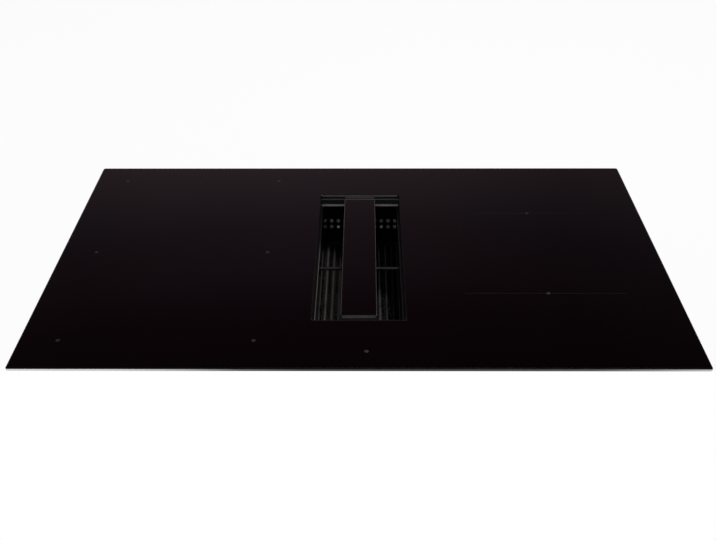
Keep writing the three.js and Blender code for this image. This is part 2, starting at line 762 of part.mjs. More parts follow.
// ---------------------------------------------------------------- duct box to the blower
const tubSideX = tubOuter.width / 2;
const plenumX = tubSideX + 2 * seat + windowGasketThick;
const plenumFarX = blower.x + inletReach + plenum.farGap + plenum.wall;
const [plenumFront, plenumRear] = [windowSpan.front - plenum.wall, windowSpan.rear + plenum.wall];
part(
  'window_gasket',
  cut(
    block([tubSideX + seat, plenumFront, plenumBottom], [plenumX - seat, plenumRear, plenumTop]),
    block([tubSideX, windowSpan.front, windowSpan.bottom], [plenumX, windowSpan.rear, windowSpan.top]),
  ),
  foam(),
);
part(
  'inlet_plenum',
  cut(
    block([plenumX, plenumFront, plenumBottom], [plenumFarX, plenumRear, plenumTop]),
    block(
      [plenumX - 1, windowSpan.front, windowSpan.bottom],
      [plenumFarX - plenum.wall, windowSpan.rear, windowSpan.top],
    ),
    drum(inletRingOuter + seat, plenumBottom - 1, windowSpan.bottom + 1, blower.x, blowerY, inletSides),
  ),
  blackPlastic(),
);

// ---------------------------------------------------------------- blower
const fanBox = new THREE.Group();
fanBox.position.set(blower.x, blowerY, 0);
hob.add(fanBox);

const tongueX = tongueRadius * Math.cos(scrollStart);

/** Spiral about the wheel's axis that opens anticlockwise from the tongue to the +X side. */
function spiral(offset) {
  const sweep = 2 * Math.PI - scrollStart;
  const points = Array.from({ length: scrollSteps + 1 }, (_, i) => {
    const turn = i / scrollSteps;
    const angle = scrollStart + turn * sweep;
    const radius = tongueRadius + (mouthRadius - tongueRadius) * turn + offset;
    return new THREE.Vector2(radius * Math.cos(angle), radius * Math.sin(angle));
  });
  return new THREE.Shape(points);
}

/** Scroll of the given height: the spiral, and a straight mouth that runs to the rear. */
const scroll = (offset, mouthY, z0, z1) => join(
  raise(spiral(offset), z0, z1),
  block([tongueX - offset, 0, z0], [mouthRadius + offset, mouthY, z1]),
);
const split = scrollFlange.split;
const scrollInside = (z0, z1) => scroll(0, blower.mouthReach + 1, z0, z1);
const scrollOutside = (z0, z1, grow = 0) => scroll(blower.wall + grow, blower.mouthReach, z0, z1);

part(
  'scroll_lower',
  cut(
    join(
      scrollOutside(0, split),
      scrollOutside(split - scrollFlange.thick, split, scrollFlange.width),
    ),
    scrollInside(blower.wall, split + 1),
  ),
  blackPlastic(),
  fanBox,
);
part(
  'scroll_upper',
  cut(
    join(
      scrollOutside(split + seat, blower.height),
      scrollOutside(split + seat, split + seat + scrollFlange.thick, scrollFlange.width),
    ),
    scrollInside(split - 1, blower.height - blower.wall),
    drum(inletRingOuter + seat, blower.height - blower.wall - 1, blower.height + 1, 0, 0, inletSides),
  ),
  blackPlastic(),
  fanBox,
);
part(
  'plenum_gasket',
  ring(
    inletRingOuter + plenumFoam.inset + plenumFoam.width,
    inletRingOuter + plenumFoam.inset,
    blower.height + seat,
    plenumBottom - seat,
    0,
    0,
    inletSides,
  ),
  foam(),
  fanBox,
);
const wheelTop = blower.height - blower.wall - impeller.roofGap;
const inletFloor = plenumBottom + plenum.wall + seat;
const ringFoot = wheelTop + inlet.wheelGap;
const ringFlangeTop = inletFloor + inlet.flangeThick;
part(
  'inlet_ring',
  turned([
    [inletRadius, ringFoot],
    [inletRingOuter, ringFoot],
    [inletRingOuter, inletFloor],
    [inletRingOuter + inlet.flange, inletFloor],
    [inletRingOuter + inlet.flange, ringFlangeTop],
    [inletRadius + inlet.ringWall / 2, ringFlangeTop],
    [inletRadius, ringFlangeTop - inlet.ringWall / 2],
  ], inletSides),
  greyPlastic(),
  fanBox,
);

// motor: a stator on the scroll floor, two bearings in it, and a shaft that carries the can and the wheel
const statorFoot = blower.wall + seat;
const footTop = statorFoot + motor.footThick;
const statorTop = motor.canTop - motor.canWall - motor.canLift;
const bearingSeat = motor.bearingRadius + seat;
part(
  'motor_stator',
  join(
    ring(motor.statorRadius, bearingSeat, footTop, statorTop),
    ring(motor.footRadius, bearingSeat, statorFoot, footTop),
  ),
  copper(),
  fanBox,
);
const bearing = (z0) =>
  ring(motor.bearingRadius, motor.shaftRadius + running, z0, z0 + motor.bearingHeight, 0, 0, 24);
const shaftFoot = statorFoot + motor.bearingInset;
part('motor_bearing_lower', bearing(shaftFoot), darkSteel(), fanBox);
part(
  'motor_bearing_upper',
  bearing(statorTop - motor.bearingHeight - motor.bearingInset),
  darkSteel(),
  fanBox,
);
const shaftTop = motor.canTop + motor.shaftAboveCan;
part('motor_shaft', drum(motor.shaftRadius, shaftFoot, shaftTop, 0, 0, 20), darkSteel(), fanBox);
const hubBore = motor.shaftRadius + seat;
part(
  'rotor_can',
  cut(
    drum(motor.canRadius, footTop + motor.canLift, motor.canTop),
    drum(motor.canRadius - motor.canWall, footTop, motor.canTop - motor.canWall),
    drum(hubBore, footTop, motor.canTop + 1, 0, 0, 20),
  ),
  darkSteel(),
  fanBox,
);

/** Forward-curved blade in plan, from its root out to its tip, with one bend. */
function bladeOutline() {
  const { depth, thick, bend, bendLean, tipLean } = impellerBlade;
  const root = impeller.radius - depth;
  const tip = impeller.radius - 1;
  const points = [
    [root, 0],
    [root + bend, bendLean],
    [tip, tipLean],
    [tip - thick, tipLean + thick],
    [root + bend - thick / 2, bendLean + thick],
    [root, thick],
  ];
  return new THREE.Shape(points.map(([x, y]) => new THREE.Vector2(x, y)));
}

/** Blower wheel: a hub cup over the can, back plate, forward-curved blades and a top ring. */
function wheel() {
  const hubInner = motor.canRadius + seat;
  const hubRoof = motor.canTop + seat;
  const hubTop = hubRoof + impeller.hubWall;
  const plateTop = impeller.plateZ + impeller.plate;
  const cup = cut(
    drum(hubInner + impeller.hubWall, impeller.plateZ, hubTop),
    drum(hubInner, impeller.plateZ - 1, hubRoof),
    drum(hubBore, hubRoof - 1, hubTop + 1, 0, 0, 20),
  );
  const backPlate = ring(impeller.radius, hubInner + 1, impeller.plateZ, plateTop);
  const ringBottom = wheelTop - impeller.ring;
  const topRing = ring(impeller.radius + 1, impeller.radius - impeller.ringWidth, ringBottom, wheelTop);
  const outline = bladeOutline();
  const blades = Array.from({ length: impellerBlade.count }, (_, i) => {
    const bladeFoot = plateTop - impellerBlade.sink;
    const depth = ringBottom + impellerBlade.sink - bladeFoot;
    const blade = new THREE.ExtrudeGeometry(outline, { depth, bevelEnabled: false });
    blade.translate(0, 0, bladeFoot);
    blade.rotateZ((i * 2 * Math.PI) / impellerBlade.count);
    return solid(blade);
  });
  return join(cup, backPlate, topRing, ...blades);
}
part('impeller', wheel(), blackPlastic(), fanBox);

// ---------------------------------------------------------------- outlet duct and flap
const mouth = {
  left: blower.x + tongueX,
  right: blower.x + mouthRadius,
  y: blowerY + blower.mouthReach,
};
const ductStart = mouth.y + seat;
const ductEnd = glass.depth / 2 - duct.setback;
const ductRight = mouth.right + blower.wall;
const ductLeft = ductRight - duct.width;
const ductTop = duct.bottom + duct.height;
const spreadEnd = mouth.y + duct.spread;
const innerDuct = {
  left: ductLeft + duct.wall,
  right: ductRight - duct.wall,
  bottom: duct.bottom + duct.wall,
  top: ductTop - duct.wall,
};
const hingeY = spreadEnd + flap.behindSpread;
const hingeZ = innerDuct.top - flap.topDrop;

/** Plan of the duct between two depths, drawn in at its sides: it spreads to the left as far as spreadEnd. */
function ductPlan(inset, start, end) {
  const shape = new THREE.Shape();
  shape.moveTo(ductRight - inset, start);
  shape.lineTo(ductRight - inset, end);
  shape.lineTo(ductLeft + inset, end);
  shape.lineTo(ductLeft + inset, spreadEnd);
  shape.lineTo(mouth.left - blower.wall + inset, start);
  return shape;
}

/** Block of the neck that slips into the scroll's mouth, drawn in from the mouth's walls. */
const neckBlock = (inset, start, end) => block(
  [mouth.left + inset, start, blower.wall + inset],
  [mouth.right - inset, end, blower.height - blower.wall - inset],
);

/** Rib on a side wall that the closed flap rests against. */
function flapStopRib(wallX, side) {
  const reachX = wallX - side * flapStop.width;
  const rearY = hingeY - flap.thick / 2 - seat;
  return block(
    [Math.min(wallX + side, reachX), rearY - flapStop.depth, innerDuct.bottom - 1],
    [Math.max(wallX + side, reachX), rearY, hingeZ - flapStop.topGap],
  );
}
part(
  'outlet_duct',
  cut(
    join(
      cut(
        join(
          raise(ductPlan(0, ductStart, ductEnd), duct.bottom, ductTop),
          neckBlock(seat, mouth.y - duct.neck, ductStart + 1),
        ),
        raise(ductPlan(duct.wall, ductStart + duct.wall, ductEnd + 1), innerDuct.bottom, innerDuct.top),
        neckBlock(seat + duct.wall, mouth.y - duct.neck - 1, ductStart + duct.wall + 1),
      ),
      flapStopRib(innerDuct.left, -1),
      flapStopRib(innerDuct.right, 1),
    ),
    rod(flap.pinRadius + running, ductLeft - 1, ductRight + 1, hingeY, hingeZ),
  ),
  blackPlastic(),
);

part(
  'nonreturn_flap',
  join(
    block(
      [innerDuct.left + flap.clearance, hingeY - flap.thick / 2, innerDuct.bottom + flap.clearance],
      [innerDuct.right - flap.clearance, hingeY + flap.thick / 2, hingeZ],
    ),
    rod(flap.pinRadius, ductLeft + seat, ductRight - seat, hingeY, hingeZ),
  ),
  greyPlastic(),
);

export default hob;
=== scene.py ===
# %% [markdown]
# # A downdraft induction hob
#
# The object is a frameless black glass hob with an extractor opening in its middle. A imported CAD
# model gives every size and place. This lesson adds what the eye needs: ground glass edges, coated
# and galvanised steel, woven wire, moulded plastic, screws and ribs. Each step says what the real
# piece is, how it could be made, and why one way was chosen.

# %% Load the CAD frame
import json
import math

import bpy
import numpy as np
from mathutils import Euler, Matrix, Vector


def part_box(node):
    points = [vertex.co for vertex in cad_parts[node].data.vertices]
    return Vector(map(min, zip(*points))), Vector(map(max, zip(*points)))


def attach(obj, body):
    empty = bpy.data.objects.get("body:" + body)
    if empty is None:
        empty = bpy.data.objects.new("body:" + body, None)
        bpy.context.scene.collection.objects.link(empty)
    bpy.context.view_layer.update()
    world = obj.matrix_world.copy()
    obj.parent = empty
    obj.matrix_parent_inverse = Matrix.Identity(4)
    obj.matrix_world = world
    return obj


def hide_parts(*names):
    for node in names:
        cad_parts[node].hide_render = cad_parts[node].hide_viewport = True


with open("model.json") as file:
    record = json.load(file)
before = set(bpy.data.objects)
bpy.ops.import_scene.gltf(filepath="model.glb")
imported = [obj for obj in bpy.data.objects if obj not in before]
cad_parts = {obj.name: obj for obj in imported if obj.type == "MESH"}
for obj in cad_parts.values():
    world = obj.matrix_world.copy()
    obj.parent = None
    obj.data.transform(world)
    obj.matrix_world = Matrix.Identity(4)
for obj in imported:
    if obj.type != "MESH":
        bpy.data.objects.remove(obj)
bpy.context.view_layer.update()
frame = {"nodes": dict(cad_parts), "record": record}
nodes = frame["nodes"]

# %% [markdown]
# ## Small tools
#
# Sizes are written in millimetres, as on a drawing, and turned to metres in one place. A shape here
# is a pair: an array of points and a list of faces. Shapes are worked out as whole arrays: rows of a
# grid are copies of an outline, or of a section carried along a path. Several closed shapes can then
# go into one mesh, and each is turned so that its faces point outwards.

# %% Colour, node and object helpers
def linear(hex_colour):
    """sRGB hex to linear RGBA: up to 0.04045 divide by 12.92, above it ((c + 0.055) / 1.055) to the 2.4."""
    c = np.array([int(hex_colour[i:i + 2], 16) for i in (1, 3, 5)]) / 255
    lin = np.where(c <= 0.04045, c / 12.92, ((c + 0.055) / 1.055) ** 2.4)
    return (*[float(v) for v in lin], 1)


def feed(node, name, value):
    """Gives one input a value, or links it to a socket or to another node's first output."""
    if isinstance(value, bpy.types.Node):
        value = value.outputs[0]
    if isinstance(value, bpy.types.NodeSocket):
        node.id_data.links.new(value, node.inputs[name])
    else:
        node.inputs[name].default_value = value


def add(tree, kind, inputs=(), **settings):
    """Adds one shader node. Settings go on the node itself, and feed fills its inputs."""
    node = tree.nodes.new("ShaderNode" + kind)
    for name, value in settings.items():
        setattr(node, name, value)
    for name, value in dict(inputs).items():
        feed(node, name, value)
    return node


def blank_material(name):
    """New material and its node tree, emptied."""
    material = bpy.data.materials.new(name)
    material.use_nodes = True
    material.node_tree.nodes.clear()
    return material, material.node_tree


def in_scene(data):
    """Puts a mesh, a lamp or a camera into the scene, as an object of the same name."""
    obj = bpy.data.objects.new(data.name, data)
    bpy.context.scene.collection.objects.link(obj)
    return obj


# %% Angles and points
def full_turn(count):
    """Angles round a circle. The last isn't drawn, because it is the first again."""
    return np.linspace(0, 2 * np.pi, count, endpoint=False)


def quarter(count):
    """Angles over a quarter turn, with both ends."""
    return np.linspace(0, np.pi / 2, count)


def circle(angle, radius=1, x=0, y=0):
    """Flat points: the radius times the cosine and the sine of the angle, from a centre."""
    return np.stack([x + radius * np.cos(angle), y + radius * np.sin(angle)], -1)


def points(x, y, z):
    """Rows of x, y and z. A plain number is repeated in every row."""
    return np.stack(np.broadcast_arrays(x, y, z), -1).astype(float)


# %% Grids of points into closed shapes
def closed_grid(grid, wrap_rows=False):
    """Faces of a grid of rows. Each row is a closed loop; the rows wrap too, or the end rows are capped."""
    rows, cols = grid.shape[:2]
    r = np.arange(rows if wrap_rows else rows - 1)[:, None]
    c = np.arange(cols)[None, :]
    at = lambda i, j: (i % rows) * cols + j % cols
    quads = np.stack([at(r, c), at(r, c + 1), at(r + 1, c + 1), at(r + 1, c)], -1).reshape(-1, 4)
    faces = quads.tolist()
    if not wrap_rows:
        faces.append(list(range(cols))[::-1])
        faces.append([(rows - 1) * cols + j for j in range(cols)])
    return outward(grid.reshape(-1, 3), faces)


def outward(corners, faces):
    """Turns a closed shape's faces round if its signed volume, a sum of triple products, is negative."""
    volume = 0
    for size in sorted({len(f) for f in faces}):
        p = corners[np.array([f for f in faces if len(f) == size])] - corners.mean(0)
        for k in range(1, size - 1):
            volume += np.einsum("ij,ij->", p[:, 0], np.cross(p[:, k], p[:, k + 1]))
    return corners, faces if volume > 0 else [f[::-1] for f in faces]


# %% Outlines, stacks of outlines, and blocks
def rounded(width, depth, radius, x=0, y=0, steps=6):
    """Rectangle with round corners: four quarter circles of the same radius, joined by straight sides."""
    radius = np.maximum(radius, 0.01)
    angle = np.concatenate([quarter(steps) + k * np.pi / 2 for k in (-1, 0, 1, 2)])
    cx = np.repeat([1, 1, -1, -1], steps) * (width / 2 - radius)
    cy = np.repeat([-1, 1, 1, -1], steps) * (depth / 2 - radius)
    return circle(angle, radius, x + cx, y + cy)


def loops(rows, wrap=False, steps=6):
    """Shell whose rows are rounded rectangles: width, depth, corner radius, height, and centre x and y."""
    grid = [points(*rounded(width, depth, radius, *at, steps=steps).T, z)
            for width, depth, radius, z, *at in rows]
    return closed_grid(np.array(grid), wrap)


def offsets(rows, longer=0, x=0, y=0):
    """Rows for loops from width, corner radius and height: the depth is always that much longer."""
    return [(width, width + longer, radius, z, x, y) for width, radius, z in rows]


def soft_block(low, high, edge=0.8, corner=None, steps=6):
    """Block with round edges: rows climb a quarter circle at the bottom and its mirror image at the top."""
    low, high = np.array(low, float), np.array(high, float)
    (w, d, h), (x, y, z_mid) = high - low, (low + high) / 2
    edge = min(edge, w / 2.02, d / 2.02, h / 2.02)
    corner = max(corner or edge, edge)
    inset = edge * (1 - np.sin(quarter(4)))
    rise = edge * (1 - np.cos(quarter(4)))
    rows = [(w - 2 * i, corner - i, low[2] + k) for i, k in zip(inset, rise)]
    rows += [(width, radius, 2 * z_mid - z) for width, radius, z in rows[::-1]]
    return loops(offsets(rows, d - w, x, y), steps=steps)


def block_at(x, y, half_x, half_y, low, high, edge=0.5, corner=None):
    """Soft block from its middle, half its width and depth, and its two heights."""
    return soft_block((x - half_x, y - half_y, low), (x + half_x, y + half_y, high), edge, corner)


# %% Turned, lofted and pushed shapes
def turned(profile, centre, sides=32, axis="Z", wrap=False):
    """Profile of (radius, height) points turned about an axis. A wrapped profile closes on itself, as a
    ring's section does; otherwise its two ends are capped."""
    radius, height = np.array(profile, float).T[:, :, None]
    grid = points(radius * np.cos(full_turn(sides)), radius * np.sin(full_turn(sides)), height)
    order = {"X": [2, 0, 1], "Y": [1, 2, 0], "Z": [0, 1, 2]}[axis]
    return closed_grid(grid[..., order] + np.array(centre, float), wrap)


def sleeve(rows, axis="Y", wrap=False):
    """Rounded rectangles lofted along an axis. Each row is the place on the axis, then the low and high
    side, the low and high height, and the corner radius."""
    grid = []
    for at, a0, a1, b0, b1, radius in rows:
        a, b = rounded(a1 - a0, b1 - b0, radius, (a0 + a1) / 2, (b0 + b1) / 2).T
        grid.append(points(a, at, b) if axis == "Y" else points(at, a, b))
    return closed_grid(np.array(grid), wrap)


def pushed(section, *stations, axis="Y"):
    """Closed flat section pushed straight along an axis: its points are (x, z) for Y and (x, y) for Z."""
    a, b = np.array(section, float).T
    return closed_grid(np.array([points(a, at, b) if axis == "Y" else points(a, b, at) for at in stations]))


def tube(path, radius, sides=8, wrap=False, squeeze=1):
    """Round bar: a circle carried along a path, square to it; its sideways axis lies flat."""
    path = np.array(path, float)
    ahead = np.roll(path, -1, 0) - np.roll(path, 1, 0) if wrap else np.gradient(path, axis=0)
    ahead /= np.linalg.norm(ahead, axis=1, keepdims=True)
    side = np.cross(ahead, [0, 0, 1])
    length = np.linalg.norm(side, axis=1, keepdims=True)
    side = np.where(length > 1e-6, side / np.maximum(length, 1e-9), [1, 0, 0])
    across, up = circle(full_turn(sides)).T[:, None, :, None]
    ring = side[:, None] * across + squeeze * np.cross(side, ahead)[:, None] * up
    return closed_grid(path[:, None] + radius * ring, wrap)


# %% Copies in place
def placed(shape, angle=0, x=0, y=0):
    """Shape turned about the vertical axis and then moved."""
    corners, faces = shape
    c, s = math.cos(angle), math.sin(angle)
    return corners @ np.array([[c, s, 0], [-s, c, 0], [0, 0, 1]]) + np.array([x, y, 0]), faces


def around(shape, count, x, y):
    """Copies of a shape at even angles round a vertical axis."""
    return [placed(shape, angle, x, y) for angle in full_turn(count)]


# %% From shapes to a finished piece
def merged(name, shapes):
    """One mesh, in metres, from closed shapes in mm."""
    faces, start = [], 0
    for corners, shape_faces in shapes:
        faces += [[i + start for i in face] for face in shape_faces]
        start += len(corners)
    mesh = bpy.data.meshes.new(name)
    mesh.from_pydata(np.concatenate([corners for corners, _ in shapes]) / 1000, [], faces)
    return mesh


def piece(name, shapes, material, node=None, body="root", smooth=35):
    """One mesh object. It rides on a CAD body and may stand for a CAD node. Edges sharper than the smooth angle
    stay sharp."""
    mesh = merged(name, shapes)
    mesh.validate()
    mesh.shade_smooth()
    mesh.set_sharp_from_angle(angle=math.radians(smooth))
    mesh.materials.append(material)
    obj = in_scene(mesh)
    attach(obj, body)
    if node:
        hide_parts(node)
    print(name, len(mesh.polygons), "faces")
    return obj


# %% Changes to a piece that is there
def repaint(obj, material, z=(0, 999), x=(-1, 999), y=(-999, 999)):
    """Gives a second material to the faces whose middle lies in these ranges of height, distance from the
    object's middle plane, and place from front to rear, all in mm. A range that is given from its high end
    to its low end stands for all that is outside it."""
    mesh = obj.data
    mesh.materials.append(material)
    middle = np.zeros(len(mesh.polygons) * 3)
    mesh.polygons.foreach_get("center", middle)
    across, along, height = middle.reshape(-1, 3).T * 1000
    index = np.zeros(len(mesh.polygons), np.int32)
    mesh.polygons.foreach_get("material_index", index)
    tests = [(v > low) & (v < high) if low < high else (v > low) | (v < high)
             for v, (low, high) in ((height, z), (abs(across), x), (along, y))]
    index[np.all(tests, axis=0)] = len(mesh.materials) - 1
    mesh.polygons.foreach_set("material_index", index)


def cut_out(obj, shapes):
    """Takes closed shapes, in mm, out of a piece with one exact Boolean, applied at once."""
    cutter = in_scene(merged("cutter", shapes))
    cut = obj.modifiers.new("cut", "BOOLEAN")
    cut.operation, cut.solver, cut.object = "DIFFERENCE", "EXACT", cutter
    bpy.context.view_layer.update()
    result = bpy.data.meshes.new_from_object(obj.evaluated_get(bpy.context.evaluated_depsgraph_get()))
    obj.modifiers.remove(cut)
    obj.data = result
    bpy.data.objects.remove(cutter)
    print(obj.name, len(result.polygons), "faces after", len(shapes), "cuts")


# %% Where a CAD node is
def mm_box(node):
    """Lowest and highest corner of a CAD node, in mm."""
    low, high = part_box(node)
    return np.array(low) * 1000, np.array(high) * 1000


# %% [markdown]
# ## Camera
#
# The photograph was taken from in front and above. The plate's four corners and the strip's corners
# were measured in the picture, and a least-squares fit of a pinhole camera to them gave the place,
# the angles and the focal length below. The fit left at most a pixel at the corners.

# %% Camera from the fit
picture_width = 716
focal_px = 977.13
camera_mm = (7.09, -1160.26, 923.79)
pitch_down, yaw_left, roll = 32.64, 0.447, -0.227

camera = bpy.data.cameras.new("photo_camera")
camera.sensor_width = 36
camera.lens = focal_px * camera.sensor_width / picture_width
camera.clip_start = 0.02
camera_object = in_scene(camera)
camera_object.location = [v / 1000 for v in camera_mm]
turn = Euler((math.radians(90 - pitch_down), 0, math.radians(yaw_left)), "XYZ").to_matrix()
camera_object.rotation_euler = (turn @ Euler((0, 0, math.radians(roll))).to_matrix()).to_euler()
bpy.context.scene.camera = camera_object
print("lens", round(camera.lens, 2), "mm")

# %% [markdown]
# ## Studio
#
# Black glass shows little of its own colour: what is seen in it is the room. In the photograph the
# far half of the plate is a little lighter than the near half, as it is when the room is bright near
# the horizon and dark overhead. So the world that mirror rays see falls off with height, the world
# that lights the object is one plain grey, and the world behind the object is white. The floor is
# pale, and it keeps a light shadow.

# %% World seen by camera, mirror and light rays
world = bpy.data.worlds.new("studio")
bpy.context.scene.world = world
world.use_nodes = True
sky = world.node_tree
sky.nodes.clear()
room_light = 0.62
white = (1, 1, 1, 1)


def fill_ramp(node, stops):
    """Colour ramp stops: a place, and red, green and blue or one grey."""
    ramp = node.color_ramp
    while len(ramp.elements) < len(stops):
        ramp.elements.new(0.5)
    for element, (place, *colour) in zip(ramp.elements, stops):
        element.position = place
        element.color = (*(colour if len(colour) == 3 else colour * 3), 1)


direction = add(sky, "TexCoord")
parts = add(sky, "SeparateXYZ", {0: direction.outputs["Generated"]})
by_height = add(sky, "ValToRGB", {0: parts.outputs["Z"]})
fill_ramp(by_height, [
    (0, 1), (0.14, 0.92, 0.90, 0.91), (0.30, 0.45, 0.40, 0.42), (0.44, 0.19, 0.13, 0.15),
    (0.47, 0.135, 0.097, 0.12), (0.50, 0.096, 0.064, 0.084), (0.54, 0.072, 0.042, 0.060),
    (0.57, 0.048, 0.023, 0.038), (0.60, 0.035, 0.013, 0.027), (0.64, 0.012, 0.005, 0.010),
    (1, 0.010, 0.004, 0.008)])
by_side = add(sky, "ValToRGB", {0: add(sky, "MapRange", {0: parts.outputs["X"], 1: -1, 2: 1})})
fill_ramp(by_side, [(0, 0.8), (0.36, 0.7), (0.40, 0.9), (0.46, 1), (0.53, 0.88), (0.56, 0.74),
                    (0.60, 0.56), (0.65, 0.55), (1, 0.7)])
fall_off = add(sky, "VectorMath", {0: by_height, 1: by_side}, operation="MULTIPLY")
rays = add(sky, "LightPath").outputs
seen = add(sky, "Math", {0: rays["Is Camera Ray"], 1: rays["Is Transmission Ray"]}, operation="MAXIMUM")
lit = add(sky, "Background", {0: white, 1: room_light})
mirrored = add(sky, "Background", {0: fall_off, 1: 1})
behind = add(sky, "Background", {0: white, 1: 1})
indirect = add(sky, "MixShader", {0: rays["Is Glossy Ray"], 1: lit, 2: mirrored})
add(sky, "OutputWorld", {0: add(sky, "MixShader", {0: seen, 1: indirect, 2: behind})})


# %% Floor
def staged_sheet(name, corners, material):
    """Sheet with four corners, in metres, that stands by the object and isn't part of it."""
    mesh = bpy.data.meshes.new(name)
    mesh.from_pydata(corners, [], [(0, 1, 2, 3)])
    mesh.materials.append(material)
    obj = in_scene(mesh)
    return obj


floor_glow = 0.88                                # share of its own light, which keeps the floor pale
pale, tree = blank_material("pale_studio_floor")
rays = add(tree, "LightPath").outputs
direct = add(tree, "Math", {0: rays["Is Camera Ray"], 1: rays["Is Glossy Ray"]}, operation="MAXIMUM")
share = add(tree, "Math", {0: direct, 1: floor_glow}, operation="MULTIPLY")
matt = add(tree, "BsdfDiffuse", {"Color": linear("#e9e9e8")})
glow = add(tree, "Emission", {"Color": white, "Strength": 1})
add(tree, "OutputMaterial", {0: add(tree, "MixShader", {0: share, 1: matt, 2: glow})})
staged_sheet("floor", [(x, y, -0.001) for x, y in ((-9, -9), (9, -9), (9, 9), (-9, 9))], pale)

# %% [markdown]
# In the photograph the hob is let into a white worktop, and nothing under the glass shows. A worktop
# in this scene would hide the body from every side, so a white card close to the lens does its work
# for this one view: its upper edge lies on the sight lines to the plate's lower front edge.

# %% Card for the worktop line
card_white, tree = blank_material("white_card")
add(tree, "OutputMaterial", {0: add(tree, "Emission", {"Color": white, "Strength": 1})})
eye = np.array(camera_mm)
card_share = 0.1                                 # of the way from the lens to these corners
wide, edge_y, edge_z = 900, -260, 206.35         # a line along the plate's lower front edge
far_corners = [(-wide, edge_y, edge_z), (wide, edge_y, edge_z), (wide, -1100, -260), (-wide, -1100, -260)]
card = staged_sheet("worktop_card", (eye + card_share * (far_corners - eye)) / 1000, card_white)
card.visible_diffuse = card.visible_glossy = card.visible_transmission = card.visible_shadow = False


# %% Lamps
def soft_lamp(name, place, size, watts, target=(0, 0, 0.15)):
    """Square area lamp that looks at the target. The camera doesn't see it."""
    lamp = bpy.data.lights.new(name, "AREA")
    lamp.size = size
    lamp.energy = watts
    obj = in_scene(lamp)
    obj.location = place
    x, y, z = np.array(target) - np.array(place)
    obj.rotation_euler = (math.atan2(math.hypot(x, y), -z), 0, math.atan2(y, x) - math.pi / 2)
    obj.visible_camera = False
    print(name, watts, "W")
    return obj


soft_lamp("key_behind_right", (0.55, 1.25, 2.75), 0.6, 30)
front = soft_lamp("fill_front", (-0.5, -1.3, 2.6), 0.8, 12)
front.visible_glossy = False                     # a cloth panel: it lights the front, and no edge mirrors it
bpy.context.scene.view_settings.view_transform = "Standard"


# %% [markdown]
# ## Materials
#
# Every finish is named for the real material and how its surface was made, and where its colour holds painted
# light or painted shade, its name says that too. One function puts the parts that they share into a tree: a
# Principled shader, a colour that wanders a little between two hex values, a roughness that wanders with it,
# and a bump whose height is in millimetres.

# %% Shared start of every finish
def wander(shader, socket, vector, size_mm, low, high):
    """Noise whose patches measure size_mm, spread between two values or two colours, into a socket."""
    tree, colours = shader.id_data, isinstance(low, str)
    noise = add(tree, "TexNoise", {"Vector": vector, "Scale": 1 / size_mm, "Detail": 3})
    share = add(tree, "MapRange", {0: noise, 1: 0.3, 2: 0.7, **({} if colours else {3: low, 4: high})})
    if colours:
        mix = add(tree, "Mix", {0: share, 6: linear(low), 7: linear(high)}, data_type="RGBA")
    feed(shader, socket, mix.outputs[2] if colours else share)
    return noise


def relief(shader, height, depth_mm):
    """Bump from a 0 to 1 height, that is depth_mm deep."""
    bump = {"Height": height, "Distance": depth_mm / 1000, "Strength": 1}
    feed(shader, "Normal", add(shader.id_data, "Bump", bump))


def finish(name, tint=None, gloss=None, depth_mm=None, stretch=(1, 1, 1), **constants):
    """New material in object coordinates, in mm, that may be stretched. Constants go straight onto the
    Principled shader. tint and gloss are a patch size in mm and the two ends of a range. A depth makes a
    relief from the gloss noise."""
    material, tree = blank_material(name)
    shader = add(tree, "BsdfPrincipled", constants)
    add(tree, "OutputMaterial", {0: shader})
    place = add(tree, "TexCoord").outputs["Object"]
    v = add(tree, "Mapping", {0: place, "Scale": [1000 * s for s in stretch]})
    if tint:
        wander(shader, "Base Color", v, *tint)
    if gloss:
        grain = wander(shader, "Roughness", v, *gloss)
    if depth_mm:
        relief(shader, grain, depth_mm)
    return material


def opened(material):
    """Tree, shader and coordinates of a finish, for what is added to it by hand."""
    tree = material.node_tree
    return tree, tree.nodes["Principled BSDF"], tree.nodes["Mapping"]


# %% [markdown]
# Glass-ceramic is polished, with an index of refraction near 1.5, and looks black because it is printed black
# underneath. Its faint warm tint is in the body colour. The ground edge is the same glass, cut by a wheel: fine
# and matt, so it catches light as a thin grey line. The front edge's brightness changes along its length in the
# photograph, so its colour follows a ramp over the width: a painted reflection. The edges in and along the
# opening carry painted shade, nearly black, and painted light, mid grey, where they catch the light.

# %% Glass finishes
warm_black = ("#020101", "#040202")
black_glass = finish("polished_black_glass_ceramic", (260, *warm_black), (90, 0.02, 0.035), IOR=1.5)
ground_edge = finish("wheel_ground_glass_edge", (14, "#8a8686", "#a19c9b"), (2.5, 0.38, 0.55), IOR=1.5)
tree, shader, v = opened(ground_edge)
relief(shader, add(tree, "TexNoise", {"Vector": v, "Scale": 2.2, "Detail": 4}), 0.05)
# Painted shade: nearly black ground glass, for the edges that lie in shade.
shaded_glass_edge = finish("glass_edge_painted_shade", (14, "#0b0909", "#110f0f"), (2.5, 0.4, 0.55), IOR=1.12)
# Painted highlight: mid grey for the strip's polished side corners, where they catch the light.
glass_corner_highlight = finish("glass_corner_painted_highlight", (14, "#3c3637", "#484142"), (2.5, 0.35, 0.5), IOR=1.5)
# Painted light: mid grey for the ground ends of the opening and of the strip.
glass_end_painted_light = finish("ground_glass_end_painted_light", (14, "#443f40", "#524d4e"), (2.5, 0.3, 0.45), IOR=1.5)
front_curve = finish("satin_front_curve", (60, *warm_black), (8, 0.45, 0.6), IOR=1.18)
enamel_mark = finish("fired_grey_enamel_print", (3, "#191718", "#1f1c1d"), IOR=1.3, Roughness=0.4)
faint_mark = finish("fired_dark_enamel_line", (6, "#060505", "#0a0809"), IOR=1.3, Roughness=0.6)
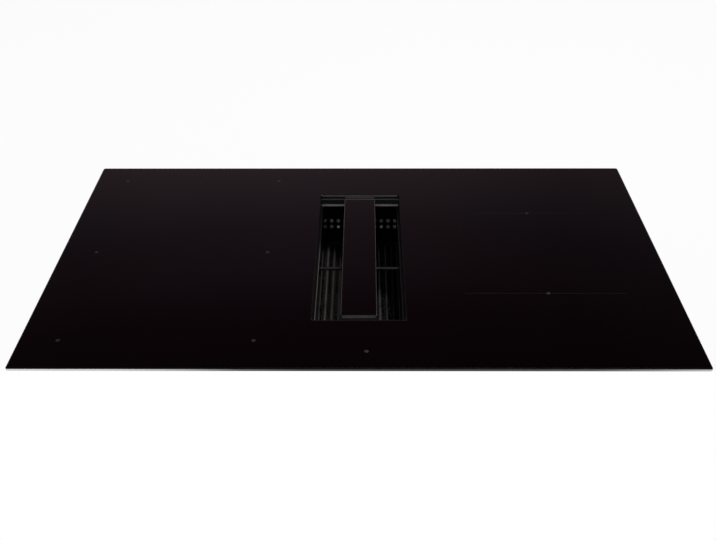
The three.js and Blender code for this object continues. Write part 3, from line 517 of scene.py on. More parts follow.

# Painted reflection: the front edge's colour is a ramp over its width, light at both ends and dark in the
# middle.
front_edge_painted_reflection = finish("wheel_ground_front_edge_painted_reflection", gloss=(2.5, 0.3, 0.45), IOR=1.5)
tree, shader, v = opened(front_edge_painted_reflection)
half_plate = 415
along = add(tree, "MapRange", {0: add(tree, "SeparateXYZ", {0: v}), 1: -half_plate, 2: half_plate})
shade = add(tree, "ValToRGB", {0: along})
fill_ramp(shade, [
    (0, 0.86, 0.84, 0.83), (0.15, 0.80, 0.78, 0.77), (0.25, 0.50, 0.48, 0.48), (0.33, 0.12, 0.11, 0.11),
    (0.42, 0.03, 0.026, 0.027), (0.58, 0.032, 0.027, 0.028), (0.75, 0.065, 0.058, 0.06),
    (0.84, 0.13, 0.12, 0.12), (0.92, 0.36, 0.34, 0.34), (1, 0.66, 0.64, 0.63)])
feed(shader, "Base Color", shade)
print("glass and enamel ready")

# %% [markdown]
# The hidden body is mild steel sheet. Most of it is hot-dip galvanised, which leaves crystals about
# a centimetre across, each at its own grey: a Voronoi pattern of that size gives both the tint and
# the change in shine. The strip's channel and the motor's can have a baked dark coat, slightly
# orange-peeled. The spring clips are blued spring steel, and the shaft and bearings are ground steel.

# %% Steel finishes
galvanised = finish("spangled_galvanised_sheet", Metallic=1)
tree, shader, v = opened(galvanised)
crystal_mm, warp_mm, shift_mm = 9, 1 / 0.12, 6     # a slow warp, so that the crystals' sides aren't straight
warp = add(tree, "TexNoise", {"Vector": v, "Scale": 1 / warp_mm, "Detail": 2})
shift = add(tree, "VectorMath", {0: warp.outputs[1], "Scale": shift_mm}, operation="SCALE")
bent = add(tree, "VectorMath", {0: v, 1: shift}, operation="ADD")
crystal = add(tree, "TexVoronoi", {"Vector": bent, "Scale": 1 / crystal_mm}).outputs
grey = add(tree, "SeparateColor", {0: crystal["Color"]}).outputs
tint = add(tree, "Mix", {0: grey[0], 6: linear("#a1a5a7"), 7: linear("#b1b4b5")}, data_type="RGBA")
feed(shader, "Base Color", tint.outputs[2])
feed(shader, "Roughness", add(tree, "MapRange", {0: grey[1], 3: 0.40, 4: 0.47}))
relief(shader, crystal["Distance"], 0.03)


def coated(name, low, high, rough, grain_mm, depth_mm, **constants):
    """Sprayed, rolled or moulded skin: a slow change of shade, and a fine grain in its gloss and relief."""
    return finish(name, (45, low, high), (grain_mm, *rough), depth_mm, **constants)


dark_steel = coated("baked_dark_coat_on_steel", "#151414", "#1c1a1a", (0.36, 0.5), 1.6, 0.03, IOR=1.5)
carrier_steel = coated("satin_black_coated_channel", "#2d2829", "#332e2f", (0.32, 0.42), 1.4, 0.02, IOR=1.45)
grip_steel = coated("thick_black_coat_on_grip", "#080808", "#0d0c0c", (0.45, 0.6), 1.6, 0.03, IOR=1.3)
spring_steel = coated("blued_spring_steel", "#6f7478", "#858a8d", (0.25, 0.36), 3, 0.01, Metallic=1)
bearing_steel = coated("ground_bearing_steel", "#a9abad", "#c0c2c3", (0.16, 0.26), 1.2, 0.01, Metallic=1)
zinc_screw = coated("zinc_plated_screw", "#b3b0a6", "#cac7bc", (0.24, 0.36), 1, 0.01, Metallic=1)
print("steels ready")

# %% [markdown]
# The basket is what the photograph shows best: nearly black wire and ribs with thin bright lines where the
# light strikes an edge. It is nickelled steel that was blackened, so it is a dark metal with fairly sharp
# highlights. Some of those lines are painted: the ends of the rim and the hole collars carry painted highlights
# in light grey, and the bars, the wire and the side beads are grey with painted shade that darkens them towards
# the rear right.

# %% Basket finishes
black_nickel = coated("blackened_nickel_basket", "#2d2827", "#393332", (0.3, 0.4), 2, 0.015, Metallic=1)
# Painted highlight: light grey for the ends of the rim and for the hole collars.
rim_painted_highlight = coated("bright_rim_painted_highlight", "#857d7c", "#979090", (0.24, 0.34), 2, 0.01, Metallic=0.5)
rivet_metal = coated("tumbled_aluminium_rivet", "#d2cfcc", "#dedbd8", (0.4, 0.5), 1, 0.01, Metallic=0.1)


def painted_light_bars(name, bright, painted_shade_colour, rough, border=(30, 90)):
    """Bars and wires in a grey that is a painted highlight, turning to a dark grey that is painted shade
    towards the rear right: past a slanting line, Y plus 1.6 times X, with a soft border, and past a second line
    at the right-hand bars."""
    material = finish(name, gloss=(3, *rough), Metallic=0.6)
    tree, shader, v = opened(material)
    x, y, _ = add(tree, "SeparateXYZ", {0: v}).outputs
    slant = add(tree, "Math", {0: x, 1: 1.6, 2: y}, operation="MULTIPLY_ADD")
    shade_past_slant, far_right = (add(tree, "MapRange", {0: value, 1: start, 2: end}, interpolation_type="SMOOTHSTEP")
                         for value, start, end in ((slant, *border), (x, 30, 47)))
    grain = add(tree, "TexNoise", {"Vector": v, "Scale": 0.4, "Detail": 3})
    either = add(tree, "Math", {0: shade_past_slant, 1: far_right}, operation="MAXIMUM")
    patch = add(tree, "Math", {0: grain, 1: 0.3, 2: either}, operation="MULTIPLY_ADD")
    ends = {6: linear(bright), 7: linear(painted_shade_colour)}
    blend = add(tree, "Mix", {0: patch, **ends}, data_type="RGBA", clamp_factor=True)
    feed(shader, "Base Color", blend.outputs[2])
    return material


# Painted light and shade: grey bars, wire and beads, darkened towards the rear right.
bars = painted_light_bars("nickel_bars_painted_light_and_shade", "#625c5b", "#110f0f", (0.34, 0.46))
wire = painted_light_bars("woven_stainless_wire_painted_light_and_shade", "#57514f", "#100e0e", (0.28, 0.4))
side_bead = painted_light_bars("side_bead_painted_light_and_shade", "#6a6362", "#0c0a0a", (0.34, 0.46), (-76, -16))

# %% [markdown]
# Moulded parts, the tub among them, are glass-filled nylon or ABS with a spark-eroded texture: matt,
# with a grain of about a millimetre. Seals are closed-cell foam rubber, duller still, with cells that
# show as pits. Litz cable is many thin enamelled wires, so its gloss breaks up along the coil.

# %% Plastics, rubber, and electrical finishes
tub_coat = coated("moulded_black_tub", "#0b0b0c", "#111112", (0.5, 0.65), 1.3, 0.04, IOR=1.45)
lip_painted_highlight = coated("tub_lip_painted_highlight", "#3e3b3b", "#4a4646", (0.4, 0.5), 2, 0.02, IOR=1.45)
black_plastic = coated("moulded_black_glass_filled_nylon", "#17181a", "#1f2022", (0.42, 0.6), 1.1, 0.06,
                       IOR=1.5)
grey_plastic = coated("moulded_grey_abs", "#73777a", "#808487", (0.4, 0.55), 1.1, 0.05, IOR=1.46)
grey_felt = coated("pressed_grey_felt", "#2b2728", "#322e2f", (0.75, 0.9), 1, 0.05, IOR=1.3)
mica = coated("pressed_mica_sheet", "#9a8a66", "#b3a27c", (0.5, 0.7), 5, 0.05, IOR=1.56)
ceramic = coated("fired_white_steatite", "#d9d5cb", "#e6e2d8", (0.4, 0.55), 1.5, 0.03, IOR=1.6)
aluminium = finish("rolled_and_extruded_aluminium", (1.2, "#b4b6b8", "#d0d2d3"), (1.2, 0.26, 0.42),
                   stretch=(1, 0.03, 1), Metallic=1)
copper = finish("enamelled_copper_litz", (7, "#a35f38", "#c27b4c"), (1.4, 0.28, 0.4), 0.25,
                Metallic=1, **{"Coat Weight": 0.5, "Coat Roughness": 0.15})

foam = finish("closed_cell_foam_rubber", (20, "#18181a", "#232325"), (3, 0.78, 0.92), IOR=1.45)
tree, shader, v = opened(foam)
relief(shader, add(tree, "TexVoronoi", {"Vector": v, "Scale": 0.9}).outputs["Distance"], 0.25)

board = finish("solder_masked_circuit_board", gloss=(9, 0.3, 0.42), IOR=1.55,
               **{"Coat Weight": 0.3, "Coat Roughness": 0.1})
tree, shader, v = opened(board)
tracks = add(tree, "TexBrick", {"Vector": v, "Scale": 0.16, "Mortar Size": 0.05, "Color1": linear("#1e5a34"),
                                "Color2": linear("#1a4f2f"), "Mortar": linear("#3a7a4c")}, offset=0.5)
feed(shader, "Base Color", tracks)
relief(shader, tracks.outputs[1], 0.04)

# %% [markdown]
# Each CAD material slot has one or more finishes. The first of them is also the one that paints a CAD
# node when it is shown itself.

# %% Finishes by slot, and onto the CAD nodes
finishes = {
    "black_glass": [black_glass], "foam_rubber": [foam, glass_end_painted_light, grey_felt],
    "galvanised_steel": [galvanised, zinc_screw], "black_plastic": [black_plastic, tub_coat],
    "grey_plastic": [grey_plastic], "spring_steel": [spring_steel], "bearing_steel": [bearing_steel],
    "dark_steel": [dark_steel, carrier_steel, grip_steel, black_nickel, rim_painted_highlight, rivet_metal, bars,
                   side_bead],
    "aluminium": [aluminium, wire], "copper_winding": [copper], "mica": [mica],
    "ceramic_white": [ceramic, enamel_mark, faint_mark], "circuit_board": [board]}
slot_of = {row["node"]: row["material_slot"] for row in frame["record"]["subparts"]}
for node, obj in nodes.items():
    obj.data.materials.clear()
    obj.data.materials.append(finishes[slot_of[node]][0])
print("painted", len(nodes), "nodes in", len(finishes), "slots")

# %% [markdown]
# ## Glass plate
#
# The plate is 4 mm glass-ceramic with an opening in the middle. Its upper edge is polished to a soft
# round, which catches the horizon as a thin light line, and the faces below that are ground matt. One
# ring surface makes it: outlines run from the underside over the outer edge, across the top, down the
# opening's edge and back. The top lies a twentieth of a millimetre under the CAD top, which leaves
# room for the printed marks.

# %% Glass plate
plate_low, plate_high = mm_box("glass_panel")
plate_w, plate_d, _ = plate_high - plate_low
plate_bottom, plate_top = plate_low[2], plate_high[2] - 0.05
opening = (120, 330, 3, 0, 3)                    # width, depth, corner, centre x and y


def polished_edge(width, depth, corner, x, y, low, high, out=1, reach=2, drop=0.8):
    """Outlines up a glass edge: a small flat below, a straight face, and a quarter ellipse into the top.
    One more outline just inside keeps the top's shading flat. out is -1 for the edge of an opening."""
    under = 0.5
    insets = [under, 0, *reach * (1 - np.cos(quarter(6))), reach + 0.3]
    heights = [low, low + under, *high - drop * (1 - np.sin(quarter(6))), high]
    return offsets([(width - 2 * out * i, corner, z) for i, z in zip(insets, heights)], depth - width, x, y)


outer = polished_edge(plate_w, plate_d, 3, 0, 0, plate_bottom, plate_top)
inner = polished_edge(*opening, plate_bottom, plate_top, out=-1, reach=0.7, drop=0.6)
glass = piece("glass_plate", [loops(outer + inner[::-1], wrap=True)], black_glass, "glass_panel", smooth=24)
ground = (plate_bottom + 0.02, plate_top - 0.75)
repaint(glass, ground_edge, ground)
# Painted reflection: the front edge's ground faces take the ramped colour.
repaint(glass, front_edge_painted_reflection, ground, y=(-999, -259))
# Painted shade: the opening's edge faces and the round at its top are painted nearly black.
repaint(glass, shaded_glass_edge, (plate_bottom + 0.02, plate_top - 0.3), (-1, 70), (-200, 200))
repaint(glass, shaded_glass_edge, (plate_top - 0.7, plate_top - 0.01), (-1, 62), (-160, 166))
repaint(glass, front_curve, (plate_top - 0.85, plate_top - 0.001), y=(-999, -257.5))
# Painted light: the opening's end faces, above their lowest 0.9 mm, are painted mid grey.
repaint(glass, glass_end_painted_light, (plate_bottom + 0.9, plate_top - 0.3), (-1, 58), (-200, 200))

# %% [markdown]
# ## Printed marks
#
# The cooking zones are marked by small grey enamel dots, and the right-hand zones by a thin line
# through each dot. They are fired into the surface, so each is a disc or a bar that is let into the
# glass and stands a few hundredths of a millimetre proud. Their places were read from the photograph
# with the fitted camera.

# %% Printed marks
mark_low, mark_top, dot_radius = plate_top - 0.2, plate_high[2] - 0.01, 2.7
dots = [(x, y) for x in (-367, -128) for y in (215, 0, -205)] + [(248.5, 111), (247, -102), (9.5, -226.4)]
piece("zone_marks", [turned([(dot_radius, mark_low), (dot_radius, mark_top)], (x, y, 0), 24) for x, y in dots],
      enamel_mark)
lines = [((165, 110.75), (338, 111.25)), ((138, -102.25), (350, -101.75))]
piece("zone_lines", [soft_block((*a, mark_low), (*b, mark_top), 0.02, 0.2) for a, b in lines], faint_mark)
print("marks", len(dots), "lines", len(lines))

# %% [markdown]
# ## Cover strip
#
# A glass strip lies in the opening, bonded to a channel folded from 1.5 mm steel with a satin black coat. The
# channel is longer than the glass, so a band of it shows at each end: grey at the rear, where a thin felt pad
# keeps it off the plate's edge, and painted nearly black at the front, behind the line of adhesive, as painted
# shade. Feet at its ends stand on the basket's rim. The glass is a plain block with the same polished edge as
# the plate; its sides carry painted shade, and its side corners and ends painted light. The channel is one
# folded section pushed along its length, with round bends.

# %% Cover strip and its channel
strip_low, strip_high = mm_box("cover_strip_glass")
(w, d, _), (x, y, _) = strip_high - strip_low, (strip_low + strip_high) / 2
rows = polished_edge(w, d, 1.5, x, y, strip_low[2], plate_top, reach=0.8, drop=0.7)
strip_glass = piece("strip_glass", [loops(rows)], black_glass, "cover_strip_glass", "cover_strip", 24)
face_low = strip_low[2] + 0.02
# Painted shade on the strip's sides, nearly black; painted highlight on its side corners and painted light on
# its ends, mid grey.
repaint(strip_glass, shaded_glass_edge, (face_low, plate_top - 0.65))
repaint(strip_glass, glass_corner_highlight, (plate_top - 0.7, plate_top - 0.02), (22, 999))
repaint(strip_glass, glass_end_painted_light, (face_low, plate_top - 0.4), (-1, 21))

low, high = mm_box("cover_strip_carrier")
half, top, sheet, skirt, dark_end = high[0], high[2], 1.5, 197.2, -150
inner_bend = circle(quarter(5), 0.6, half - sheet - 0.6, top - 3.1)
right_half = np.array([(half - sheet, skirt), (half, skirt), *circle(quarter(5), 2, half - 2, top - 2)])
mirror = (-1, 1)
section = np.concatenate([right_half, right_half[::-1] * mirror, inner_bend * mirror, inner_bend[::-1]])
feet = [block_at(0, y, half, 1.7, low[2], top - 2, 0.4, 0.8) for y in (low[1] + 1.7, high[1] - 1.7)]
channel = piece("strip_channel", [pushed(section, low[1], dark_end, high[1]), *feet], carrier_steel,
                "cover_strip_carrier", "cover_strip")
# Painted shade: the channel's front end is painted nearly black.
repaint(channel, shaded_glass_edge, y=(-999, dark_end))
# The line of adhesive takes the glass ends' painted light grey.
bond = tube(points(np.linspace(-21.6, 21.6, 9), strip_low[1] - 0.5, strip_low[2] + 0.1), 0.9, 10)
piece("strip_bond_line", [bond], glass_end_painted_light, body="cover_strip")
pad = soft_block((-22.2, high[1] - 2.6, top - 0.4), (22.2, high[1] - 0.1, top + 1.6), 0.35)
piece("strip_rear_pad", [pad], grey_felt, body="cover_strip")

# %% [markdown]
# ## Filter basket
#
# The basket hangs by its rim on a shelf of the tub. Its walls are sheet, drawn into a round bead at
# the inner edge of the rim, and both end walls have two rows of pierced holes with turned-in
# collars. The floor is eleven round bars. The shell is a ring surface like the glass, the holes are
# cut with a Boolean that is applied at once, and bars and collars are circles carried along a path.

# %% Basket shell with pierced ends
low, high = mm_box("filter_basket")
y_mid, base_z, rim_z = (low[1] + high[1]) / 2, low[2], high[2]
rim_w, rim_d, _ = high - low
wall_w, wall_d, thick, bead = 117, 318.6, 0.8, 0.9
inner_w, inner_d = wall_w - 2 * thick, wall_d - 2 * thick
outside = [(wall_w, 2.4, base_z), (wall_w, 2.4, rim_z - 2)]
rim = [(rim_w - 0.6, 3, rim_z - 2), (rim_w, 3, rim_z - 1.7), (rim_w, 3, rim_z - 0.5),
       (rim_w - 0.6, 2.7, rim_z - 0.2)]
inside = [(inner_w + 2 * bead * np.cos(a), 1.6 + bead * np.cos(a), rim_z - bead * (1 - np.sin(a)))
          for a in (0.35, 0.8, 1.25, np.pi / 2)]
inside += [(inner_w - 0.7 * bead * np.sin(a), 1.6, rim_z - bead * (1 - np.cos(a))) for a in (0.5, 1, np.pi / 2)]
inside += [(inner_w, 1.6, rim_z - 3), (inner_w, 1.6, base_z)]
rows = offsets(outside, wall_d - wall_w, 0, y_mid) + offsets(rim, rim_d - rim_w, 0, y_mid)
rows += offsets(inside, wall_d - wall_w, 0, y_mid)
basket = piece("basket_shell", [loops(rows, wrap=True)], black_nickel, "filter_basket", "filter_basket", 32)

hole_x = [side * (23 + 10.4 * i) for side in (-1, 1) for i in range(4)]
hole_z = [168, 157.5]
through = [(2.7, -wall_d / 2 - 4), (2.7, wall_d / 2 + 4)]
cut_out(basket, [turned(through, (x, y_mid, z), 20, "Y") for x in hole_x for z in hole_z])
at_ends = (y_mid + inner_d / 2 - 0.6, y_mid - inner_d / 2 + 0.6)
# Painted highlight: the top of the rim's two ends is painted light grey.
repaint(basket, rim_painted_highlight, (rim_z - 0.95, 999), y=at_ends)

# %% Collars, rivets and side beads
collars, rivets = [], []
collar = circle(full_turn(16), 1.9)
dome = np.array([(2.6, -0.8), *circle(np.linspace(0, 1.45, 6)) * (2.6, 1.3)])
for end in (-1, 1):
    face_y = y_mid + end * (inner_d / 2 - 0.25)
    collars += [tube(points(x + collar[:, 0], face_y, z + collar[:, 1]), 1.1, 8, wrap=True)
                for x in hole_x for z in hole_z]
    rivets += [turned(dome * (1, -end), (x, face_y, hole_z[1]), 20, "Y") for x in (hole_x[1], hole_x[5])]
run = np.linspace(y_mid - inner_d / 2 + 1, y_mid + inner_d / 2 - 1, 41)
# Painted light and shade: the left bead is grey towards the front, the rest dark grey.
piece("basket_side_beads", [tube(points(s * 56.9, run, 193.7), 0.85, 10) for s in (-1, 1)], side_bead,
      body="filter_basket")
# Painted highlight: the hole collars take the rim's light grey.
piece("basket_hole_collars", collars, rim_painted_highlight, body="filter_basket")
piece("basket_rivets", rivets, rivet_metal, body="filter_basket")

# %% Floor bars and handle
bar_pitch = 9.7
back = circle(np.linspace(0, np.pi, 9)) * (2.3, 2.6) + (0, 131.4)
section = np.concatenate([back, [(-1.9, 130), (1.9, 130)]])
ends = y_mid - inner_d / 2 - 0.3, y_mid + inner_d / 2 + 0.3
ribs = [pushed(section + (k * bar_pitch, 0), *ends) for k in range(-5, 6)]
piece("basket_bars", ribs, bars, body="filter_basket")

low, high = mm_box("basket_handle")
_, y, z = (low + high) / 2
bar = tube(points(np.linspace(low[0] + 0.2, high[0] - 0.2, 25), y, z), 3.4, 14, squeeze=0.58)
plates = [block_at(s * 57.2, y, 0.5, 8, 174.5, 186.5, 0.35, 3) for s in (-1, 1)]
piece("basket_handle_bar", [bar] + plates, grip_steel, "basket_handle", "filter_basket")

# %% [markdown]
# ## Grease mesh
#
# The filter under the bars is woven from stainless wire, in a folded frame. Every wire goes over one
# crossing wire and under the next, so its height follows a cosine along its length, with the sign
# changed from one wire to the next. The real weave is finer; 5.5 mm is the pitch at which the
# photograph shows it.

# %% Woven grease mesh
low, high = mm_box("grease_mesh")
w, d, _ = high - low
pitch, wire_radius, rise, mesh_z = 5.5, 0.85, 0.95, high[2] - 2.4
count_x, count_y = int((w - 6) / pitch), int((d - 6) / pitch)
wire_x = (np.arange(count_x) - (count_x - 1) / 2) * pitch
wire_y = y_mid + (np.arange(count_y) - (count_y - 1) / 2) * pitch
tx, ty = (np.arange(-0.5, count - 0.4, 0.25) for count in (count_x, count_y))
paths = [points(x, wire_y[0] + ty * pitch, mesh_z + rise * np.cos(np.pi * (ty + i)))
         for i, x in enumerate(wire_x)]
paths += [points(wire_x[0] + tx * pitch, y, mesh_z - rise * np.cos(np.pi * (tx + j)))
          for j, y in enumerate(wire_y)]
weave = [tube(path, wire_radius, 5) for path in paths]
piece("woven_grease_mesh", weave, wire, "grease_mesh", "filter_basket", 60)
rows = [(w - 1, 3, low[2]), (w, 3, low[2] + 0.5), (w, 3, high[2] - 0.6), (w - 1.2, 3, high[2]),
        (w - 5, 2, high[2]), (w - 6, 2, high[2] - 0.5), (w - 6, 2, low[2] + 0.5), (w - 5, 2, low[2])]
piece("grease_mesh_frame", [loops(offsets(rows, d - w, 0, y_mid), wrap=True)], dark_steel, body="filter_basket")

# %% [markdown]
# ## Tub
#
# The tub that the air is drawn through is one deep moulding: a flange that seals to the glass, a lip whose
# inner edge is painted grey as a painted highlight, walls with ribs outside, a shelf at each end for the
# basket's rim, and a window towards the blower. A surface of stacked outlines gives it rounded corners and a
# dished floor, which a box with a bevel wouldn't.

# %% Tub
low, high = mm_box("air_cavity")
tub_y = (low[1] + high[1]) / 2
wall = [(118, 8, 0), (122.6, 7, 0.5), (124.3, 6.5, 1.7), (124.6, 6, 3.5), (124.6, 6, 199.4), (125, 6, 200.5),
        (126.4, 6.5, 201), (143.4, 9, 201), (144.4, 9, 201.3), (144.6, 9, 201.8), (144.6, 9, 202.4),
        (143.8, 9, 202.9), (142.8, 9, 203), (122.2, 4.5, 203), (120.6, 4, 202.7), (119.8, 3.6, 201.9),
        (119.6, 3.5, 200.5), (119.6, 3.5, 8), (118.4, 3.5, 4.6), (114, 3.5, 2.9), (110, 3.5, 2.5)]
tub_longer = 210
shell = piece("tub_shell", [loops(offsets(wall, tub_longer, 0, tub_y))], tub_coat, "air_cavity", smooth=40)
window_y, window_z = (-143, 43), (101.4, 147.4)
cut_out(shell, [soft_block((59, window_y[0], window_z[0]), (63, window_y[1], window_z[1]), 0.3, 1.5)])
# Painted highlight: the inner edge of the tub's lip is painted grey.
repaint(shell, lip_painted_highlight, (201.7, 999), (-1, 59.7), (tub_y - 166.2, tub_y + 166.2))
shelves = [block_at(0, y, 59.7, 2.25, 189.7, 192.7) for y in (-159.65, 165.65)]
ribs = [block_at(-63, y, 1.4, 0.9, 8, 138) for y in range(-138, 150, 36)]
ribs += [block_at(x, y, 0.9, 1.4, 8, 138) for x in (-44, -15, 15, 44) for y in (-165.4, 171.4)]
piece("tub_shelves_and_ribs", shelves + ribs, tub_coat)

# %% [markdown]
# ## Casing and clips
#
# The casing is one folded tray of 1 mm galvanised sheet. Its folds have a small radius, which is what
# the eye reads as sheet metal: the stack of outlines turns each fold in four short steps. The air
# slots and the fan guards are punched, so they are cut with a Boolean. Each spring clip is a leaf bent
# to a smooth bow; its height above the wall follows a raised cosine.

# %% Casing
floor_z = 149.7
fold = [(756, 2, floor_z), (758.8, 2.2, 150.1), (759.8, 2.4, 150.9), (760, 2.5, 152), (760, 2.5, 203.2),
        (760.3, 2.6, 204.1), (761.2, 3, 204.6), (763, 3, 204.7), (771, 3, 204.7), (772, 3, 205),
        (772, 3, 205.5), (771.4, 3, 205.7), (762, 2, 205.7), (759.4, 1.8, 205.3), (758.2, 1.6, 204.2),
        (758, 1.5, 203), (758, 1.5, 152), (757.4, 1.5, 151.1), (756, 1.2, 150.7)]
casing_longer = -288
casing = piece("folded_casing", [loops(offsets(fold, casing_longer))], galvanised, "hob_casing", smooth=40)


# %% Punched slots in the casing's floor
def arc_slot(x, y, inner, outer, start, end, low, high):
    """Punched slot between two radii and two angles, with the corners left sharp as the punch leaves them."""
    angle = np.linspace(start, end, 9)
    rim = np.concatenate([circle(angle, outer, x, y), circle(angle, inner, x, y)[::-1]])
    return pushed(rim, low, high, axis="Z")


fan_x, fan_y, half_bar = 205, 150, 1.9
punch = (floor_z - 1, floor_z + 2)
cuts = [soft_block((-62.8, -164.8, punch[0]), (62.8, 170.8, punch[1]), 0.2, 6)]
for side in (-1, 1):
    cuts += [block_at(side * 250, y, 35, 2, *punch, 0.2, 1.9) for y in range(-216, -160, 12)]
    for inner, outer in ((15.5, 20.5), (23, 28), (30.5, 35.5)):
        for start in full_turn(4) + half_bar / inner:
            end = start + np.pi / 2 - 2 * half_bar / inner
            cuts.append(arc_slot(side * fan_x, fan_y, inner, outer, start, end, *punch))
cut_out(casing, cuts)

# %% Posts under the boards, and the casing's screws
posts = [(sx * 250 + ax * 96, -35 + ay * 91) for sx in (-1, 1) for ax in (-1, 1) for ay in (-1, 1)]
posts += [(ax * 106, 209 + ay * 16) for ax in (-1, 1) for ay in (-1, 1)]
hexagon = [(3.4, 150.6), (3.9, 151.1), (3.9, 156.2), (3.4, 156.7)]
piece("hex_board_posts", [turned(hexagon, (x, y, 0), 6) for x, y in posts], zinc_screw)


def screw_head(x, y, z, axis, sign=1, radius=3.6):
    """Pan head with a washer: a profile turned about the screw's axis, standing sign-wards off its seat."""
    profile = [(radius + 1.1, -0.4), (radius + 1.1, 0.7), (radius, 0.8), (radius, 1.7), (radius * 0.8, 2.5),
               (radius * 0.45, 2.85), (radius * 0.4, 2.1), (0.05, 2.1)]
    return turned([(r, sign * h) for r, h in profile], (x, y, z), 20, axis)


screws = [screw_head(x, s * 236, 160, "Y", s) for s in (-1, 1) for x in (-345, -205, 205, 345)]
screws += [screw_head(s * 380, y, 160, "X", s) for s in (-1, 1) for y in (-205, 0, 205)]
piece("casing_screws", screws, zinc_screw)

# %% Spring clips
height = np.linspace(0, 1, 25)
bow = 6 * (0.5 - 0.5 * np.cos(2 * np.pi * height)) ** 0.8
inner_face, outer_face = (np.stack([x + bow, 203 - 40 * height], -1) for x in (380.35, 381.55))
section = np.concatenate([outer_face, inner_face[::-1]])
for side, side_name in ((-1, "left"), (1, "right")):
    for y, end_name in ((-140, "front"), (140, "rear")):
        leaf = pushed(section * (side, 1), y - 18, y + 18)
        rivet = screw_head(side * 381.4, y, 200.2, "X", side, 1.6)
        where = f"{side_name}_{end_name}"
        piece(f"leaf_{where}", [leaf, rivet], spring_steel, f"spring_clip_{where}", smooth=30)

# %% [markdown]
# ## Seals
#
# Foam seals are squeezed strips, so their free side is round: an outline that moves in along a half
# turn while its height follows the sine.

# %% Seals
def foam_ring(half_x, y0, y1, width, low, high):
    """Closed foam frame, flat on top and round below: inset from a cosine, depth from a sine."""
    a = np.linspace(0, np.pi, 9)
    inset = width / 2 * (1 - np.cos(a))
    depth = (high - low) * np.sin(a) ** 0.6
    rows = [(2 * (half_x - i), 4, high - d) for i, d in zip(inset, depth)]
    return loops(offsets(rows, y1 - y0 - 2 * half_x, 0, (y0 + y1) / 2), wrap=True)


piece("worktop_seal", [foam_ring(410, -255, 255, 9, 202.7, 205.7)], foam, "perimeter_seal")
piece("tub_seal", [foam_ring(71.3, -173.3, 179.3, 9, 203.3, 205.7)], foam, "cavity_gasket")
hole, box_face = (*window_y, *window_z), (-145, 45, 99.4, 149.4)
rows = [(62.7, *box_face, 2), (64.9, *box_face, 2), (64.9, *hole, 1.5), (62.7, *hole, 1.5)]
piece("window_seal", [sleeve(rows, "X", wrap=True)], foam, "window_gasket")

# %% [markdown]
# ## Air box, blower and duct
#
# These are thin mouldings: every outer edge is round, and ribs stiffen the flat sides. The air box
# and the duct are rounded rectangles lofted along one axis. The scroll's plan is a spiral whose radius
# grows evenly with the angle, drawn with many more points than the CAD has; the two halves meet at a
# flange with screw bosses.

# %% Air box
hub_x, hub_y = 215, -50
hub = (hub_x, hub_y, 0)
wall = [(65.3, *box_face, 2), (306, *box_face, 3), (310.2, -143.6, 43.6, 100.4, 148.6, 5),
        (311.6, -141.6, 41.6, 101.8, 147.2, 6), (312, -139, 39, 103.6, 145.4, 6)]
plenum = piece("moulded_air_box", [sleeve(wall, "X")], black_plastic, "inlet_plenum", smooth=40)
cut_out(plenum, [soft_block((60, window_y[0], window_z[0]), (310, window_y[1], window_z[1]), 1.5, 3),
                 turned([(76, 96), (76, 103)], hub, 72)])
ribs = [block_at(x, y, 0.8, 1.4, 101, 148) for x in range(88, 310, 24) for y in (-145.2, 44.8)]
piece("air_box_ribs", ribs, black_plastic)


# %% Blower scroll
def spiral(angle, offset):
    """Radius from the wheel's axis: 108 mm at 60 degrees, growing evenly to 150 mm at a full turn."""
    return 108 + 42 * (angle - np.pi / 3) / (5 * np.pi / 3) + offset


def scroll_plan(offset, mouth_y):
    """Plan of the scroll's wall: down its tongue, round the spiral, and up to the mouth."""
    tongue_x = 54 - offset
    angle = np.linspace(math.acos(tongue_x / (108.3 + offset)), 2 * np.pi, 96)
    curve = circle(angle, spiral(angle, offset))
    tongue = [(tongue_x, mouth_y), (tongue_x, curve[0, 1] + 1)]
    return np.concatenate([tongue, curve, [(150 + offset, mouth_y)]]) + (hub_x, hub_y)


def scroll_stack(rows, mouth_y=135):
    """Closed stack of spiral plans, each given as offset and height."""
    return closed_grid(np.array([points(*scroll_plan(offset, mouth_y).T, z) for offset, z in rows]))


halves = {
    "lower": ([(1, 0), (2, 0.3), (2.5, 1.4), (2.5, 43), (3.2, 43.5), (7.1, 43.5), (7.5, 43.9), (7.5, 45.7),
               (7.2, 46)], [(-1.5, 2.5), (-0.4, 2.9), (0, 4.2), (0, 50)], (3, 43.4), (39, 45.9), []),
    "upper": ([(7.2, 46.3), (7.5, 46.6), (7.5, 48.4), (7.1, 48.8), (3.2, 48.8), (2.5, 49.3), (2.5, 90.6),
               (2, 91.7), (1, 92)], [(0, 42), (0, 87.8), (-0.4, 89.1), (-1.5, 89.5)], (48.9, 90), (46.4, 52),
              [turned([(76, 86), (76, 95)], hub, 72)]),
}
boss_places = [circle(a, spiral(a, 6.5), hub_x, hub_y) for a in np.radians(np.arange(82, 350, 40))]
for half, (outside, inside, rib_heights, (low, high), inlet) in halves.items():
    scroll = piece(f"scroll_{half}_moulding", [scroll_stack(outside)], black_plastic, f"scroll_{half}")
    cut_out(scroll, [scroll_stack(inside, 140)] + inlet)
    ribs = [placed(block_at(spiral(a, 3.3), 0, 1.8, 0.8, *rib_heights), a, hub_x, hub_y)
            for a in np.radians(np.arange(92, 352, 20))]
    boss = [(3.6, low), (4.4, low + 0.8), (4.4, high - 0.3), (4, high)]
    piece(f"scroll_{half}_ribs", ribs + [turned(boss, (x, y, 0), 20) for x, y in boss_places], black_plastic)
piece("scroll_screws", [screw_head(x, y, 52, "Z", 1, 2.6) for x, y in boss_places], zinc_screw)

